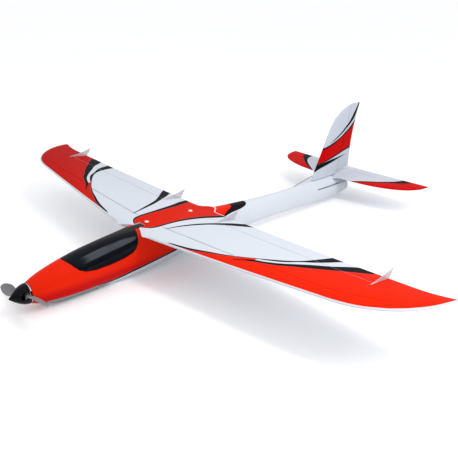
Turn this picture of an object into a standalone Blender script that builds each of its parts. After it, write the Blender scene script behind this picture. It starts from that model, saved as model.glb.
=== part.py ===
"""Electric model sailplane: foam airframe, folding propeller, four working control surfaces.

Frame: +X is the left wing, -Y is the nose, +Z is up. The origin is under the middle of
the bounding box, on the surface that the belly rests on. Stations ("s") are distances aft of
the spinner's tip and heights ("z") are measured from the propeller's axis; spot() turns both
into world coordinates.
"""
from math import acos, asin, atan2, cos, hypot, pi, radians, sin, tan

import bmesh
import bpy
from mathutils import Matrix, Vector

# Driving dimensions, in metres
LENGTH = 0.930
SPAN = 1.100
AXIS_Z = 0.035
GAP = 0.0003

# Spinner, propeller and motor
SPINNER_R = 0.0182
SPINNER_END = 0.0325
BACKPLATE_FRONT = 0.0328
BACKPLATE_REAR = 0.0344
BLADE_R = 0.098
BLADE_TILT = radians(14.0)
PIN_X = 0.0130
PIN_S = 0.0275
BLADE_LEAD = 0.0035
SHAFT_R = 0.0020
SCREW_PITCH = 0.0080
FIREWALL_S = 0.0405
BELL_R = 0.0140

# Fuselage stations: (station, top, bottom, half width, shoulder exponent)
FUSELAGE = (
    (0.0352, 0.0187, -0.0183, 0.0183, 2.0),
    (0.048, 0.0250, -0.0233, 0.0218, 2.0),
    (0.062, 0.0298, -0.0279, 0.0244, 2.1),
    (0.088, 0.0372, -0.0325, 0.0272, 2.1),
    (0.128, 0.0455, -0.0336, 0.0292, 2.2),
    (0.168, 0.0513, -0.0342, 0.0300, 2.2),
    (0.205, 0.0548, -0.0350, 0.0300, 2.4),
    (0.240, 0.0563, -0.0346, 0.0296, 3.2),
    (0.268, 0.0572, -0.0336, 0.0290, 4.2),
    (0.340, 0.0488, -0.0275, 0.0262, 4.2),
    (0.400, 0.0462, -0.0232, 0.0238, 3.6),
    (0.446, 0.0432, -0.0212, 0.0220, 2.8),
    (0.500, 0.0393, -0.0203, 0.0203, 2.3),
    (0.600, 0.0325, -0.0190, 0.0178, 2.2),
    (0.700, 0.0298, -0.0222, 0.0161, 2.2),
    (0.745, 0.0306, -0.0250, 0.0154, 2.2),
    (0.812, 0.0308, -0.0275, 0.0144, 2.2),
    (0.850, 0.0308, -0.0250, 0.0130, 2.2),
    (0.885, 0.0308, -0.0180, 0.0110, 2.2),
)
BELLY_EXPONENT = 2.3
WALL = ((0.0352, 0.0026), (0.100, 0.0030), (0.130, 0.0045), (0.440, 0.0045),
        (0.550, 0.0040), (0.850, 0.0040), (0.885, 0.0080))
BOOM_END = 0.885
TAIL_DECK = 0.0238
TAIL_DECK_START = 0.822
TAIL_DECK_SLOPE = 0.318

# Canopy hatch: heights of its lower edge, then a neck between the wing halves
HATCH_EDGE = (
    (0.100, 0.0398), (0.104, 0.0370), (0.110, 0.0300), (0.118, 0.0220),
    (0.128, 0.0170), (0.147, 0.0140), (0.176, 0.0145), (0.206, 0.0175),
    (0.225, 0.0220), (0.234, 0.0290), (0.239, 0.0390), (0.241, 0.0480),
)
NECK_START = 0.246
NECK_END = 0.268
NECK_HALF_WIDTH = 0.0090
OPENED = (0.1000, 0.102, 0.105, 0.110, 0.118, 0.128, 0.147, 0.176, 0.206, 0.225,
          0.234, 0.239, 0.241, 0.2435, NECK_START, 0.257, NECK_END)
HATCH_WALL = 0.0020
SKID_WALL = 0.0015

# Wing
WING_LE_ROOT = 0.2385
WING_LE_SWEEP = 0.113
WING_TE_ROOT = 0.4269
WING_TE_SWEEP = -0.0408
TIP_START = 0.430
TIP_LE_RUN = 0.114
WING_Z = 0.0513
WING_Z_STATION = 0.256
INCIDENCE = 0.033
DIHEDRAL = 0.028
UPSWEEP = 0.038
WING_THICKNESS = 0.068
WING_CAMBER = 0.014
EDGE_HALF = 0.0004
NOTCH_HALF = 0.0098
NOTCH_CORNER = 0.039
NOTCH_END = 0.052
TONGUE_HALF = 0.030
TONGUE_FLAT = 0.002
TONGUE_LENGTH = 0.0195
AILERON_IN = 0.0855
AILERON_OUT = 0.440
AILERON_HINGE_IN = 0.383
AILERON_HINGE_SLOPE = -0.0324
HINGE_GAP = 0.0004

# Tail
STAB_HALF_SPAN = 0.206
STAB_Z = 0.0275
STAB_LE = 0.828
STAB_TE = 0.925
STAB_RUN = 0.102
ELEVATOR_HINGE = 0.893
STAB_THICKNESS = 0.062
FIN_BOTTOM = 0.0318
FIN_TOP = 0.1965
RUDDER_BOTTOM = 0.041
RUDDER_HINGE = 0.843
RUDDER_RAKE = 0.27
FIN_THICKNESS = 0.068

# Controls
SERVO_PIVOT_X = 0.0135
SERVO_S = 0.306
SERVO_PIVOT_S = 0.300
SERVO_BOTTOM = -0.010
SERVO_TOP = 0.012
SERVO_TRAY_TOP = 0.0038
SERVO_ARM = 0.0095
WIRE_R = 0.0008
HORN_LIFT = 0.0018
ELEVATOR_WIRE = ((0.004, 0.300, 0.018), (0.0125, 0.897, 0.0075))
RUDDER_WIRE = ((-0.004, 0.300, 0.018), (-0.0085, 0.655, 0.016),
               (-0.0125, 0.705, 0.0252), (-0.0125, 0.850, 0.050))
AILERON_SERVO_X = 0.207
AILERON_SERVO_S = 0.331
AILERON_PIVOT_S = 0.336
AILERON_ARM = 0.010
AILERON_HORN = 0.014
WING_BOLTS = (0.278, 0.383)
BOLT_R = 0.0020
FENCE_HEIGHT = 0.0175
FENCE_WALL = 0.0012
SPAR_R = 0.0025
SPAR_ENDS = ((0.012, 0.2900, 0.0522), (0.330, 0.2960, 0.0650))

COLOURS = {
    "red_foam": ((0.80, 0.02, 0.01), 0.35, 0.0),
    "white_foam": ((0.80, 0.83, 0.87), 0.45, 0.0),
    "black_gloss": ((0.006, 0.007, 0.010), 0.08, 0.0),
    "grey_plastic": ((0.20, 0.21, 0.22), 0.45, 0.0),
    "black_plastic": ((0.02, 0.02, 0.022), 0.50, 0.0),
    "clear_plastic": ((0.75, 0.72, 0.74), 0.25, 0.0),
    "aluminium": ((0.75, 0.76, 0.78), 0.30, 1.0),
    "steel": ((0.45, 0.46, 0.48), 0.35, 1.0),
    "carbon": ((0.03, 0.03, 0.035), 0.35, 0.0),
    "plywood": ((0.55, 0.38, 0.20), 0.60, 0.0),
    "battery_wrap": ((0.03, 0.10, 0.35), 0.30, 0.0),
    "servo_blue": ((0.03, 0.10, 0.45), 0.35, 0.0),
    "strap": ((0.03, 0.03, 0.03), 0.90, 0.0),
}


# ---------------------------------------------------------------- small helpers

def clear_scene():
    """Remove every object that the start-up scene holds."""
    for obj in list(bpy.data.objects):
        bpy.data.objects.remove(obj, do_unlink=True)


def collection(name):
    """A new collection linked to the scene."""
    group = bpy.data.collections.new(name)
    bpy.context.scene.collection.children.link(group)
    return group


def make_materials():
    """One Principled material for each named colour."""
    materials = {}
    for name, (colour, roughness, metallic) in COLOURS.items():
        material = bpy.data.materials.new(name)
        material.use_nodes = True
        shader = material.node_tree.nodes["Principled BSDF"]
        shader.inputs["Base Color"].default_value = (*colour, 1.0)
        shader.inputs["Roughness"].default_value = roughness
        shader.inputs["Metallic"].default_value = metallic
        material.diffuse_color = (*colour, 1.0)
        materials[name] = material
    return materials


clear_scene()
PARTS = collection("rc_sailplane")
CUTTERS = collection("cutters")
MATERIALS = make_materials()


def spot(x, s, z):
    """World point of a place given by span, station and height above the thrust axis."""
    return Vector((x, s - LENGTH / 2, z + AXIS_Z))


def lerp(table, s):
    """Straight interpolation in a table of (station, value)."""
    if s <= table[0][0]:
        return table[0][1]
    for (s0, v0), (s1, v1) in zip(table, table[1:]):
        if s <= s1:
            return v0 + (v1 - v0) * (s - s0) / (s1 - s0)
    return table[-1][1]


def smooth(table, s, column):
    """Smooth interpolation of one column of a station table."""
    stations = [row[0] for row in table]
    values = [row[column] for row in table]
    s = min(max(s, stations[0]), stations[-1])
    i = max(k for k in range(len(stations) - 1) if stations[k] <= s)

    def slope(k):
        k0, k1 = max(k - 1, 0), min(k + 1, len(stations) - 1)
        return (values[k1] - values[k0]) / (stations[k1] - stations[k0])

    h = stations[i + 1] - stations[i]
    t = (s - stations[i]) / h
    start = values[i] * (2 * t**3 - 3 * t**2 + 1) + slope(i) * h * (t**3 - 2 * t**2 + t)
    end = values[i + 1] * (3 * t**2 - 2 * t**3) + slope(i + 1) * h * (t**3 - t**2)
    return start + end


def finish(obj, material, smooth_angle=35):
    """File a part in the collection with its material and its shading."""
    for group in obj.users_collection:
        group.objects.unlink(obj)
    PARTS.objects.link(obj)
    obj.data.materials.clear()
    obj.data.materials.append(MATERIALS[material])
    obj.data.shade_smooth()
    obj.data.set_sharp_from_angle(angle=radians(smooth_angle))
    return obj


def loft(name, rings):
    """A closed body through rings of equal length, capped at both ends."""
    shape = bmesh.new()
    rows = [[shape.verts.new(point) for point in ring] for ring in rings]
    count = len(rings[0])
    for row, after in zip(rows, rows[1:]):
        for i in range(count):
            j = (i + 1) % count
            shape.faces.new((row[i], row[j], after[j], after[i]))
    shape.faces.new(rows[0])
    shape.faces.new(rows[-1])
    bmesh.ops.recalc_face_normals(shape, faces=shape.faces)
    mesh = bpy.data.meshes.new(name)
    shape.to_mesh(mesh)
    shape.free()
    obj = bpy.data.objects.new(name, mesh)
    PARTS.objects.link(obj)
    return obj


def set_origin(obj, point):
    """Move an object's origin to a world point and leave its shape where it is."""
    obj.data.transform(Matrix.Translation(-point))
    obj.location = point


def box(name, centre, size, bevel=0.0):
    """A box by its centre and size, with bevelled edges if asked."""
    bpy.ops.mesh.primitive_cube_add(size=1, location=centre)
    obj = bpy.context.object
    obj.name = name
    obj.data.transform(Matrix.Diagonal((*size, 1)))
    if bevel:
        modifier = obj.modifiers.new("edges", "BEVEL")
        modifier.width = bevel
        modifier.segments = 2
        modifier.limit_method = "ANGLE"
    return obj


def rod(name, start, end, radius, sides=16):
    """A cylinder between two world points."""
    start, end = Vector(start), Vector(end)
    along = end - start
    bpy.ops.mesh.primitive_cylinder_add(vertices=sides, radius=radius, depth=along.length)
    obj = bpy.context.object
    obj.name = name
    obj.data.transform(along.to_track_quat("Z", "Y").to_matrix().to_4x4())
    obj.location = (start + end) / 2
    return obj


def wire(name, points, radius):
    """A bent wire as a curve with filled caps, made a mesh."""
    curve = bpy.data.curves.new(name, "CURVE")
    curve.dimensions = "3D"
    curve.bevel_depth = radius
    curve.bevel_resolution = 2
    curve.use_fill_caps = True
    spline = curve.splines.new("POLY")
    spline.points.add(len(points) - 1)
    for target, point in zip(spline.points, points):
        target.co = (*spot(*point), 1)
    route = bpy.data.objects.new(name + "_route", curve)
    PARTS.objects.link(route)
    bpy.context.view_layer.update()
    evaluated = route.evaluated_get(bpy.context.evaluated_depsgraph_get())
    mesh = bpy.data.meshes.new_from_object(evaluated)
    shape = bmesh.new()
    shape.from_mesh(mesh)
    bmesh.ops.remove_doubles(shape, verts=shape.verts, dist=1e-6)
    bmesh.ops.recalc_face_normals(shape, faces=shape.faces)
    shape.to_mesh(mesh)
    shape.free()
    bpy.data.objects.remove(route)
    obj = bpy.data.objects.new(name, mesh)
    PARTS.objects.link(obj)
    return obj


def turned(name, profile, steps=32, frame=None):
    """A turned part from (radius, depth) points, front to back along the thrust axis.

    A profile that starts and ends off the axis is closed into a ring.
    """
    mesh = bpy.data.meshes.new(name)
    shape = bmesh.new()
    points = [shape.verts.new((radius, 0, -station)) for radius, station in profile]
    closed = profile[0][0] > 0 and profile[-1][0] > 0
    for a, b in zip(points, points[1:] + points[:1] if closed else points[1:]):
        shape.edges.new((a, b))
    area = sum(a.co.x * b.co.z - b.co.x * a.co.z for a, b in zip(points, points[1:] + points[:1]))
    shape.to_mesh(mesh)
    shape.free()
    obj = bpy.data.objects.new(name, mesh)
    PARTS.objects.link(obj)
    thrust = Matrix.Translation(spot(0, 0, 0)) @ Matrix.Rotation(radians(90), 4, "X")
    obj.matrix_world = frame or thrust
    screw = obj.modifiers.new("turn", "SCREW")
    screw.axis = "Z"
    screw.steps = steps
    screw.render_steps = steps
    screw.use_merge_vertices = True
    screw.merge_threshold = 0.00001
    screw.use_normal_flip = area > 0
    return obj


def boolean(obj, tool, operation="DIFFERENCE"):
    """Add an exact Boolean, and hide its tool."""
    modifier = obj.modifiers.new(operation.lower(), "BOOLEAN")
    modifier.operation = operation
    modifier.object = tool
    for group in tool.users_collection:
        group.objects.unlink(tool)
    CUTTERS.objects.link(tool)
    tool.hide_render = True
    tool.display_type = "WIRE"


def mirror_name(side):
    """The name of a side: +1 is the left wing's."""
    return "left" if side > 0 else "right"


# ---------------------------------------------------------------- fuselage

def deck_height(s):
    """Top of the fuselage, stepped down under the stabiliser."""
    if s > TAIL_DECK_START:
        return TAIL_DECK - TAIL_DECK_SLOPE * max(0.0, s - STAB_LE)
    return smooth(FUSELAGE, s, 1)


def section(s, inset):
    """Centre height, half height, half width and shoulder exponent at a station."""
    top, bottom = deck_height(s), smooth(FUSELAGE, s, 2)
    half = (top - bottom) / 2
    return (top + bottom) / 2, half - inset, smooth(FUSELAGE, s, 3) - inset, smooth(FUSELAGE, s, 4)


def section_point(s, angle, inset=0.0):
    """(x, z) on the section, at an angle measured from its top."""
    centre, half, width, shoulder = section(s, inset)
    power = 2 / (shoulder if angle < pi / 2 else BELLY_EXPONENT)
    lift = cos(angle)
    x = width * max(sin(angle), 0.0) ** power
    z = centre + half * (abs(lift) ** power) * (1 if lift > 0 else -1)
    return x, z


def angle_at_height(s, height, inset=0.0):
    """Angle from the top at which the section reaches a height above its centre."""
    centre, half, _, shoulder = section(s, inset)
    ratio = min(max((height - centre) / half, 0.0), 1.0)
    return acos(ratio ** (shoulder / 2))


def hatch_angle(s, inset=0.0):
    """Angle from the top to the hatch opening's edge, straight between the stations."""
    return lerp([(station, opening_angle(station, inset)) for station in OPENED], s)


def opening_angle(s, inset):
    """Angle from the top to the hatch opening's edge at one of its stations."""
    _, _, width, shoulder = section(s, inset)
    neck = asin((NECK_HALF_WIDTH / width) ** (shoulder / 2))
    last = HATCH_EDGE[-1][0]
    if s <= last:
        return max(angle_at_height(s, lerp(HATCH_EDGE, s), inset), radians(4))
    side = angle_at_height(last, HATCH_EDGE[-1][1], inset)
    blend = min((s - last) / (NECK_START - last), 1.0)
    return side + (neck - side) * blend


def shell_ring(side, s, opened, count=12):
    """One half's C-shaped ring: the outer wall down to the belly, then the inner wall up."""
    wall = lerp(WALL, s)
    ring = []
    for inset in (0.0, wall):
        first = hatch_angle(s, inset) if opened else 0.0
        arc = []
        for i in range(count + 1):
            x, z = section_point(s, first + (pi - first) * i / count, inset)
            arc.append(spot(side * max(x, GAP / 2), s, z))
        ring += arc if inset == 0.0 else arc[::-1]
    return ring


def fuselage_half(side):
    """One moulded half of the fuselage, open under the hatch and under the wing."""
    closed_nose = (0.0352, 0.040, 0.046, 0.054, 0.064, 0.076, 0.088, 0.0998)
    closed_boom = (NECK_END + GAP, 0.290, 0.340, 0.400, 0.446, 0.500, 0.560, 0.630, 0.700,
                   0.745, 0.800, TAIL_DECK_START - GAP, TAIL_DECK_START + GAP, STAB_LE,
                   0.850, 0.870, BOOM_END)
    rings = [shell_ring(side, s, False) for s in closed_nose]
    rings += [shell_ring(side, s, True) for s in OPENED]
    rings += [shell_ring(side, s, False) for s in closed_boom]
    half = loft(f"fuselage_{mirror_name(side)}_shell", rings)
    return finish(half, "red_foam", 50)


def canopy_hatch():
    """The lift-off canopy: an arch over the radio bay, with a neck between the wing halves."""
    stations = (OPENED[0] + 0.0010, *OPENED[1:-1], NECK_END - 0.0006)
    count = 16
    rings = []
    for s in stations:
        ring = []
        for inset, gap in ((0.0, 0.0010), (HATCH_WALL, 0.0026)):
            _, half, _, shoulder = section(s, inset)
            edge = hatch_angle(s, inset) - gap * shoulder / 2 / half
            arc = []
            for i in range(count + 1):
                angle = edge * (2 * i / count - 1)
                x, z = section_point(s, abs(angle), inset)
                arc.append(spot(x if angle > 0 else -x, s, z))
            ring += arc if inset == 0.0 else arc[::-1]
        rings.append(ring)
    hatch = loft("canopy_hatch", rings)
    return finish(hatch, "black_gloss", 50)


def belly_height(s, x):
    """Height of the fuselage's underside at a distance from its centre line."""
    centre, half, width, _ = section(s, 0.0)
    tilt = asin((abs(x) / width) ** (BELLY_EXPONENT / 2))
    return centre - half * cos(tilt) ** (2 / BELLY_EXPONENT)


def belly_skid():
    """Thin wear strip under the nose, curved with the belly."""
    rings = []
    for s in (0.058, 0.064, 0.075, 0.090, 0.110, 0.130, 0.150, 0.158):
        half = 0.005 + 0.007 * min((s - 0.058) / 0.03, 1.0)
        offsets = [half * (i / 3 - 1) for i in range(7)]
        upper = [spot(x, s, belly_height(s, x) - GAP) for x in offsets]
        lower = [spot(x, s, max(belly_height(s, x) - SKID_WALL, -AXIS_Z)) for x in offsets]
        rings.append(upper + lower[::-1])
    return finish(loft("belly_skid", rings), "grey_plastic")


# ---------------------------------------------------------------- lifting surfaces

def foil(c, thickness, camber):
    """(lower, upper) of a thin cambered section at chord fraction c, in chords."""
    c = min(max(c, 0.0), 1.0)
    half = 5 * thickness * (0.2969 * c**0.5 - 0.1260 * c - 0.3516 * c**2
                            + 0.2843 * c**3 - 0.1036 * c**4)
    middle = 4 * camber * c * (1 - c)
    return middle - half, middle + half


def wing_front(x):
    """Station of the wing's leading edge on the plain outline."""
    x = abs(x)
    line = WING_LE_ROOT + WING_LE_SWEEP * x
    if x > TIP_START:
        reach = min((x - TIP_START) / (SPAN / 2 - TIP_START), 0.9998)
        line += TIP_LE_RUN * (1 - (1 - reach**2) ** 0.5)
    return line


def wing_back(x):
    """Station of the wing's trailing edge on the plain outline."""
    x = abs(x)
    hook = 0.0105 * max(0.0, (x - 0.49) / 0.06) ** 2
    return WING_TE_ROOT + WING_TE_SWEEP * x + hook


def wing_surface(x, s):
    """(lower, upper) heights of the wing at a point of its plan."""
    front, back = wing_front(x), wing_back(x)
    chord = back - front
    low, high = foil((s - front) / chord, WING_THICKNESS, WING_CAMBER)
    plane = WING_Z - INCIDENCE * (s - WING_Z_STATION) + DIHEDRAL * abs(x) + UPSWEEP * x * x
    return plane + chord * low - EDGE_HALF, plane + chord * high + EDGE_HALF


def hinge_station(x):
    """Station of the aileron's hinge line."""
    return AILERON_HINGE_IN + AILERON_HINGE_SLOPE * (abs(x) - AILERON_IN)


def wing_cut_front(x, notch=NOTCH_HALF):
    """Front of the wing as built: notched for the canopy's neck, with bevelled corners."""
    x = abs(x)
    if x < notch:
        return NECK_END
    corner = ((NOTCH_HALF, 0.254), (NOTCH_CORNER, 0.240), (NOTCH_END, wing_front(NOTCH_END)))
    return lerp(corner, x) if x < NOTCH_END else wing_front(x)


def wing_cut_back(x):
    """Back of the wing as built: a tongue over the boom, and the aileron bays."""
    x = abs(x)
    if x < TONGUE_HALF:
        rise = (1 + cos(pi * max(0.0, x - TONGUE_FLAT) / (TONGUE_HALF - TONGUE_FLAT))) / 2
        return wing_back(x) + TONGUE_LENGTH * rise
    if AILERON_IN - GAP < x < AILERON_OUT + GAP:
        return hinge_station(x) - HINGE_GAP
    return wing_back(x)


def surface_ring(x, front, back, count, swell=0.0):
    """Closed ring of one wing section: upper side from front to back, then lower side."""
    places = [front + (back - front) * (1 - cos(pi / 2 * i / count)) for i in range(count + 1)]
    upper = [spot(x, s, wing_surface(x, s)[1] + swell) for s in places]
    lower = [spot(x, s, wing_surface(x, s)[0] - swell) for s in places]
    return upper + lower[::-1]


def wing_stations():
    """Span stations of the right half of the wing, from the centre to the tip."""
    notch = (0.0, 0.005, NOTCH_HALF - 0.0002, NOTCH_HALF + 0.0002, 0.014, 0.018, 0.022, 0.026,
             TONGUE_HALF, NOTCH_CORNER, 0.045, NOTCH_END, 0.064, 0.075)
    bay = (AILERON_IN - GAP - 0.0001, AILERON_IN - GAP + 0.0001, 0.160, 0.230, 0.300, 0.370,
           AILERON_OUT + GAP - 0.0001, AILERON_OUT + GAP + 0.0001)
    tip = (0.465, 0.490, 0.510, 0.526, 0.538, 0.545, SPAN / 2)
    return notch + bay + tip


def wing():
    """One-piece foam wing with spar grooves, servo pockets and bolt holes."""
    half = wing_stations()
    stations = [-x for x in half[:0:-1]] + list(half)
    rings = [surface_ring(x, wing_cut_front(x), wing_cut_back(x), 9) for x in stations]
    body = loft("wing", rings)
    for side in (1, -1):
        boolean(body, spar_groove(side))
        boolean(body, servo_pocket(side))
    for s in WING_BOLTS:
        hole = rod("wing_bolt_hole", spot(0, s, 0.03), spot(0, s, 0.07), BOLT_R + GAP, 20)
        boolean(body, hole)
    return finish(body, "white_foam")


def wing_saddle():
    """Cutter for the wing's seat in the fuselage: the wing grown by a small clearance."""
    notch = 0.0080
    half = [0.0, 0.005, notch - 0.0001, notch + 0.0001, 0.014, 0.018, 0.022, 0.026,
            TONGUE_HALF, NOTCH_CORNER]
    stations = [-x for x in half[:0:-1]] + half
    clearance = 0.0004
    rings = []
    for x in stations:
        front = wing_cut_front(x, notch) - clearance
        back = wing_cut_back(x) + clearance
        rings.append(surface_ring(x, front, back, 9, clearance))
    return loft("wing_saddle", rings)


def spar_point(side, end, lift=0.0):
    """One end of a spar's axis."""
    x, s, z = SPAR_ENDS[end]
    return spot(side * x, s, z + lift)


def spar_groove(side):
    """Groove under the wing, open downwards, that the spar lies in."""
    half = SPAR_R + GAP
    rings = []
    for end, extra in ((0, -0.001), (1, 0.001)):
        x, s, z = SPAR_ENDS[end]
        corners = ((-half, -0.02), (half, -0.02), (half, half), (-half, half))
        rings.append([spot(side * (x + extra), s + ds, z + dz) for ds, dz in corners])
    return loft("spar_groove", rings)


def wing_spar(side):
    """Carbon tube glued into one half of the wing."""
    name = f"wing_spar_{mirror_name(side)}"
    return finish(rod(name, spar_point(side, 0), spar_point(side, 1), SPAR_R), "carbon")


def aileron_servo_base():
    """Lowest point of the wing's underside over the servo pocket."""
    return wing_surface(AILERON_SERVO_X, AILERON_SERVO_S)[0]


def servo_pocket(side):
    """Pocket for an aileron servo, open downwards."""
    base = aileron_servo_base()
    depth = 0.0275
    centre = spot(side * (AILERON_SERVO_X + 0.0045), AILERON_SERVO_S, base + 0.0072 - depth / 2)
    return box("servo_pocket", centre, (0.029, 0.029, depth))


def aileron_servo(side):
    """Thin servo that lies on its side, with its output shaft along the span."""
    base = aileron_servo_base() + 0.0002
    body = box(f"aileron_servo_{mirror_name(side)}",
               spot(side * AILERON_SERVO_X, AILERON_SERVO_S, base + 0.0033),
               (0.0190, 0.0240, 0.0066), 0.0006)
    return finish(body, "servo_blue")


def aileron_pivot(side):
    """Servo output axis of one aileron."""
    return spot(side * (AILERON_SERVO_X + 0.0112), AILERON_PIVOT_S, aileron_servo_base() + 0.0034)


def servo_arm(name, pivot, thickness, length, turn):
    """Output arm: a hub and a tapered bar, built along +X about Z and then turned."""
    outline = bpy.data.curves.new(name, "CURVE")
    outline.dimensions = "2D"
    outline.fill_mode = "BOTH"
    outline.extrude = thickness / 2
    spline = outline.splines.new("POLY")
    hub, tip, steps = 0.0028, 0.0014, 6
    points = [(hub * cos(a), hub * sin(a)) for a in
              (radians(90 + 180 * i / steps) for i in range(steps + 1))]
    points += [(length + tip * cos(a), tip * sin(a)) for a in
               (radians(-90 + 180 * i / steps) for i in range(steps + 1))]
    spline.points.add(len(points) - 1)
    for target, (x, y) in zip(spline.points, points):
        target.co = (x, y, 0, 1)
    spline.use_cyclic_u = True
    flat = bpy.data.objects.new(name + "_outline", outline)
    PARTS.objects.link(flat)
    bpy.context.view_layer.update()
    mesh = bpy.data.meshes.new_from_object(flat.evaluated_get(bpy.context.evaluated_depsgraph_get()))
    shape = bmesh.new()
    shape.from_mesh(mesh)
    bmesh.ops.remove_doubles(shape, verts=shape.verts, dist=1e-6)
    bmesh.ops.recalc_face_normals(shape, faces=shape.faces)
    shape.to_mesh(mesh)
    shape.free()
    bpy.data.objects.remove(flat)
    arm = bpy.data.objects.new(name, mesh)
    PARTS.objects.link(arm)
    arm.data.transform(turn)
    arm.location = pivot
    return finish(arm, "black_plastic")


def hinge_height(x):
    """Height of the aileron's hinge: the wing's upper skin on the hinge line."""
    return wing_surface(x, hinge_station(x))[1]


def aileron(side):
    """One aileron, with its lower front edge bevelled to swing down."""
    rings = []
    stations = (AILERON_IN + GAP, 0.160, 0.230, 0.300, 0.370, AILERON_OUT - GAP)
    for x in stations:
        front, back = hinge_station(x) + HINGE_GAP, wing_back(x)
        low, high = wing_surface(x, front)
        chamfer = (high - low) * tan(radians(26))
        upper = [front + (back - front) * i / 4 for i in range(5)]
        lower = [front + chamfer + (back - front - chamfer) * i / 4 for i in range(5)]
        ring = [spot(side * x, s, wing_surface(x, s)[1]) for s in upper]
        ring += [spot(side * x, s, wing_surface(x, s)[0]) for s in lower[::-1]]
        rings.append(ring)
    body = loft(f"aileron_{mirror_name(side)}", rings)
    set_origin(body, spot(side * AILERON_IN, hinge_station(AILERON_IN), hinge_height(AILERON_IN)))
    return finish(body, "white_foam")


def horn(name, corners, offset, thickness, axis, material="black_plastic"):
    """A thin control horn: corners in a plane, thickened along axis ("X" or "Z")."""
    rings = []
    for level in (offset, offset + thickness):
        if axis == "X":
            rings.append([spot(level, s, z) for s, z in corners])
        else:
            rings.append([spot(x, s, level) for x, s in corners])
    return finish(loft(name, rings), material)


def aileron_horn(side):
    """Horn under the aileron, beside the pushrod's end."""
    x = side * (AILERON_SERVO_X + 0.0158)
    hinge_s, hinge_z = hinge_station(x), hinge_height(x)
    lowest = hinge_z - AILERON_HORN - 0.0015
    top_front = wing_surface(x, hinge_s + 0.005)[0] - GAP
    top_back = wing_surface(x, hinge_s + 0.013)[0] - GAP
    corners = ((hinge_s + 0.0048, top_front - 0.0002), (hinge_s + 0.013, top_back - 0.0002),
               (hinge_s + 0.003, lowest), (hinge_s - 0.001, lowest))
    return horn(f"aileron_horn_{mirror_name(side)}", corners, x, side * 0.0012, "X")


def aileron_pushrod(side):
    """Straight wire from the aileron servo's arm to the horn."""
    x = side * (AILERON_SERVO_X + 0.0143)
    pivot = aileron_pivot(side)
    start = Vector((x, pivot.y, pivot.z - AILERON_ARM))
    hinge = spot(x, hinge_station(x), hinge_height(x) - AILERON_HORN)
    rod_part = rod(f"aileron_pushrod_{mirror_name(side)}", start, hinge, 0.0006, 12)
    return finish(rod_part, "steel")


def fence(side, x, place):
    """Swept plate that stands on the wing beside one end of an aileron."""
    foot_front = hinge_station(x) - 0.009
    foot_back = wing_back(x) + 0.001
    feet = [foot_front + (foot_back - foot_front) * i / 4 for i in range(5)]
    corners = [(s, wing_surface(x, s)[1] + GAP) for s in feet]
    tip_height = wing_surface(x, foot_back)[1] + FENCE_HEIGHT
    corners += [(foot_back + 0.0125, tip_height), (foot_back + 0.0105, tip_height + 0.0002)]
    name = f"{mirror_name(side)}_{place}_fence"
    return horn(name, corners, side * x - FENCE_WALL / 2, FENCE_WALL, "X", "clear_plastic")


# ---------------------------------------------------------------- tail

def stab_front(x):
    """Leading edge of the horizontal tail."""
    reach = min(abs(x) / (STAB_HALF_SPAN + 0.0005), 0.9999)
    return STAB_LE + STAB_RUN * (1 - (1 - reach**2.5) ** 0.4)


def stab_back(x):
    """Trailing edge of the horizontal tail."""
    return STAB_TE + (LENGTH - STAB_TE) * (x / STAB_HALF_SPAN) ** 2


def stab_surface(x, s):
    """(lower, upper) heights of the horizontal tail."""
    front, back = stab_front(x), stab_back(x)
    low, high = foil((s - front) / (back - front), STAB_THICKNESS, 0.0)
    chord = back - front
    return STAB_Z + chord * low - EDGE_HALF, STAB_Z + chord * high + EDGE_HALF


def stabiliser():
    """Fixed horizontal tail, from the leading edge to the elevator's hinge."""
    half = (0.0, 0.05, 0.098, 0.135, 0.165, 0.185, 0.195, 0.1985)
    rings = []
    for x in [-x for x in half[:0:-1]] + list(half):
        front, back = stab_front(x), ELEVATOR_HINGE - HINGE_GAP
        places = [front + (back - front) * (1 - cos(pi / 2 * i / 6)) for i in range(7)]
        ring = [spot(x, s, stab_surface(x, s)[1]) for s in places]
        ring += [spot(x, s, stab_surface(x, s)[0]) for s in places[::-1]]
        rings.append(ring)
    return finish(loft("stabiliser", rings), "white_foam")


def elevator():
    """One-piece elevator with a V-shaped front edge on its hinge axis."""
    half = (0.0, 0.05, 0.098, 0.135, 0.165, 0.185, 0.195, 0.201, STAB_HALF_SPAN)
    rings = []
    for x in [-x for x in half[:0:-1]] + list(half):
        front, back = max(ELEVATOR_HINGE, stab_front(x)) + HINGE_GAP, stab_back(x)
        low, high = stab_surface(x, front)
        chamfer = min((high - low) / 2 * tan(radians(32)), (back - front) / 3)
        places = [front + chamfer + (back - front - chamfer) * i / 3 for i in range(4)]
        ring = [spot(x, front, STAB_Z + 0.0001)]
        ring += [spot(x, s, stab_surface(x, s)[1]) for s in places]
        ring += [spot(x, s, stab_surface(x, s)[0]) for s in places[::-1]]
        ring += [spot(x, front, STAB_Z - 0.0001)]
        rings.append(ring)
    body = loft("elevator", rings)
    set_origin(body, spot(0, ELEVATOR_HINGE, STAB_Z))
    return finish(body, "white_foam")


def fin_front(z):
    """Leading edge of the fin, swept back in a curve to the tip."""
    climb = max(0.0, (z - 0.100) / (FIN_TOP - 0.100))
    return 0.751 + 0.53 * (z - 0.030) + 0.047 * climb**6


def fin_back(z):
    """Trailing edge of the rudder."""
    return 0.8925 + 1.16 * max(z - 0.040, 0.0) ** 2


def rudder_hinge(z):
    """Station of the rudder's raked hinge axis."""
    return RUDDER_HINGE + RUDDER_RAKE * (z - 0.040)


def fin_half(z, s):
    """Half thickness of the fin and rudder."""
    front, back = fin_front(z), fin_back(z)
    chord = back - front
    return chord * foil((s - front) / chord, FIN_THICKNESS, 0.0)[1] + EDGE_HALF


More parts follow.
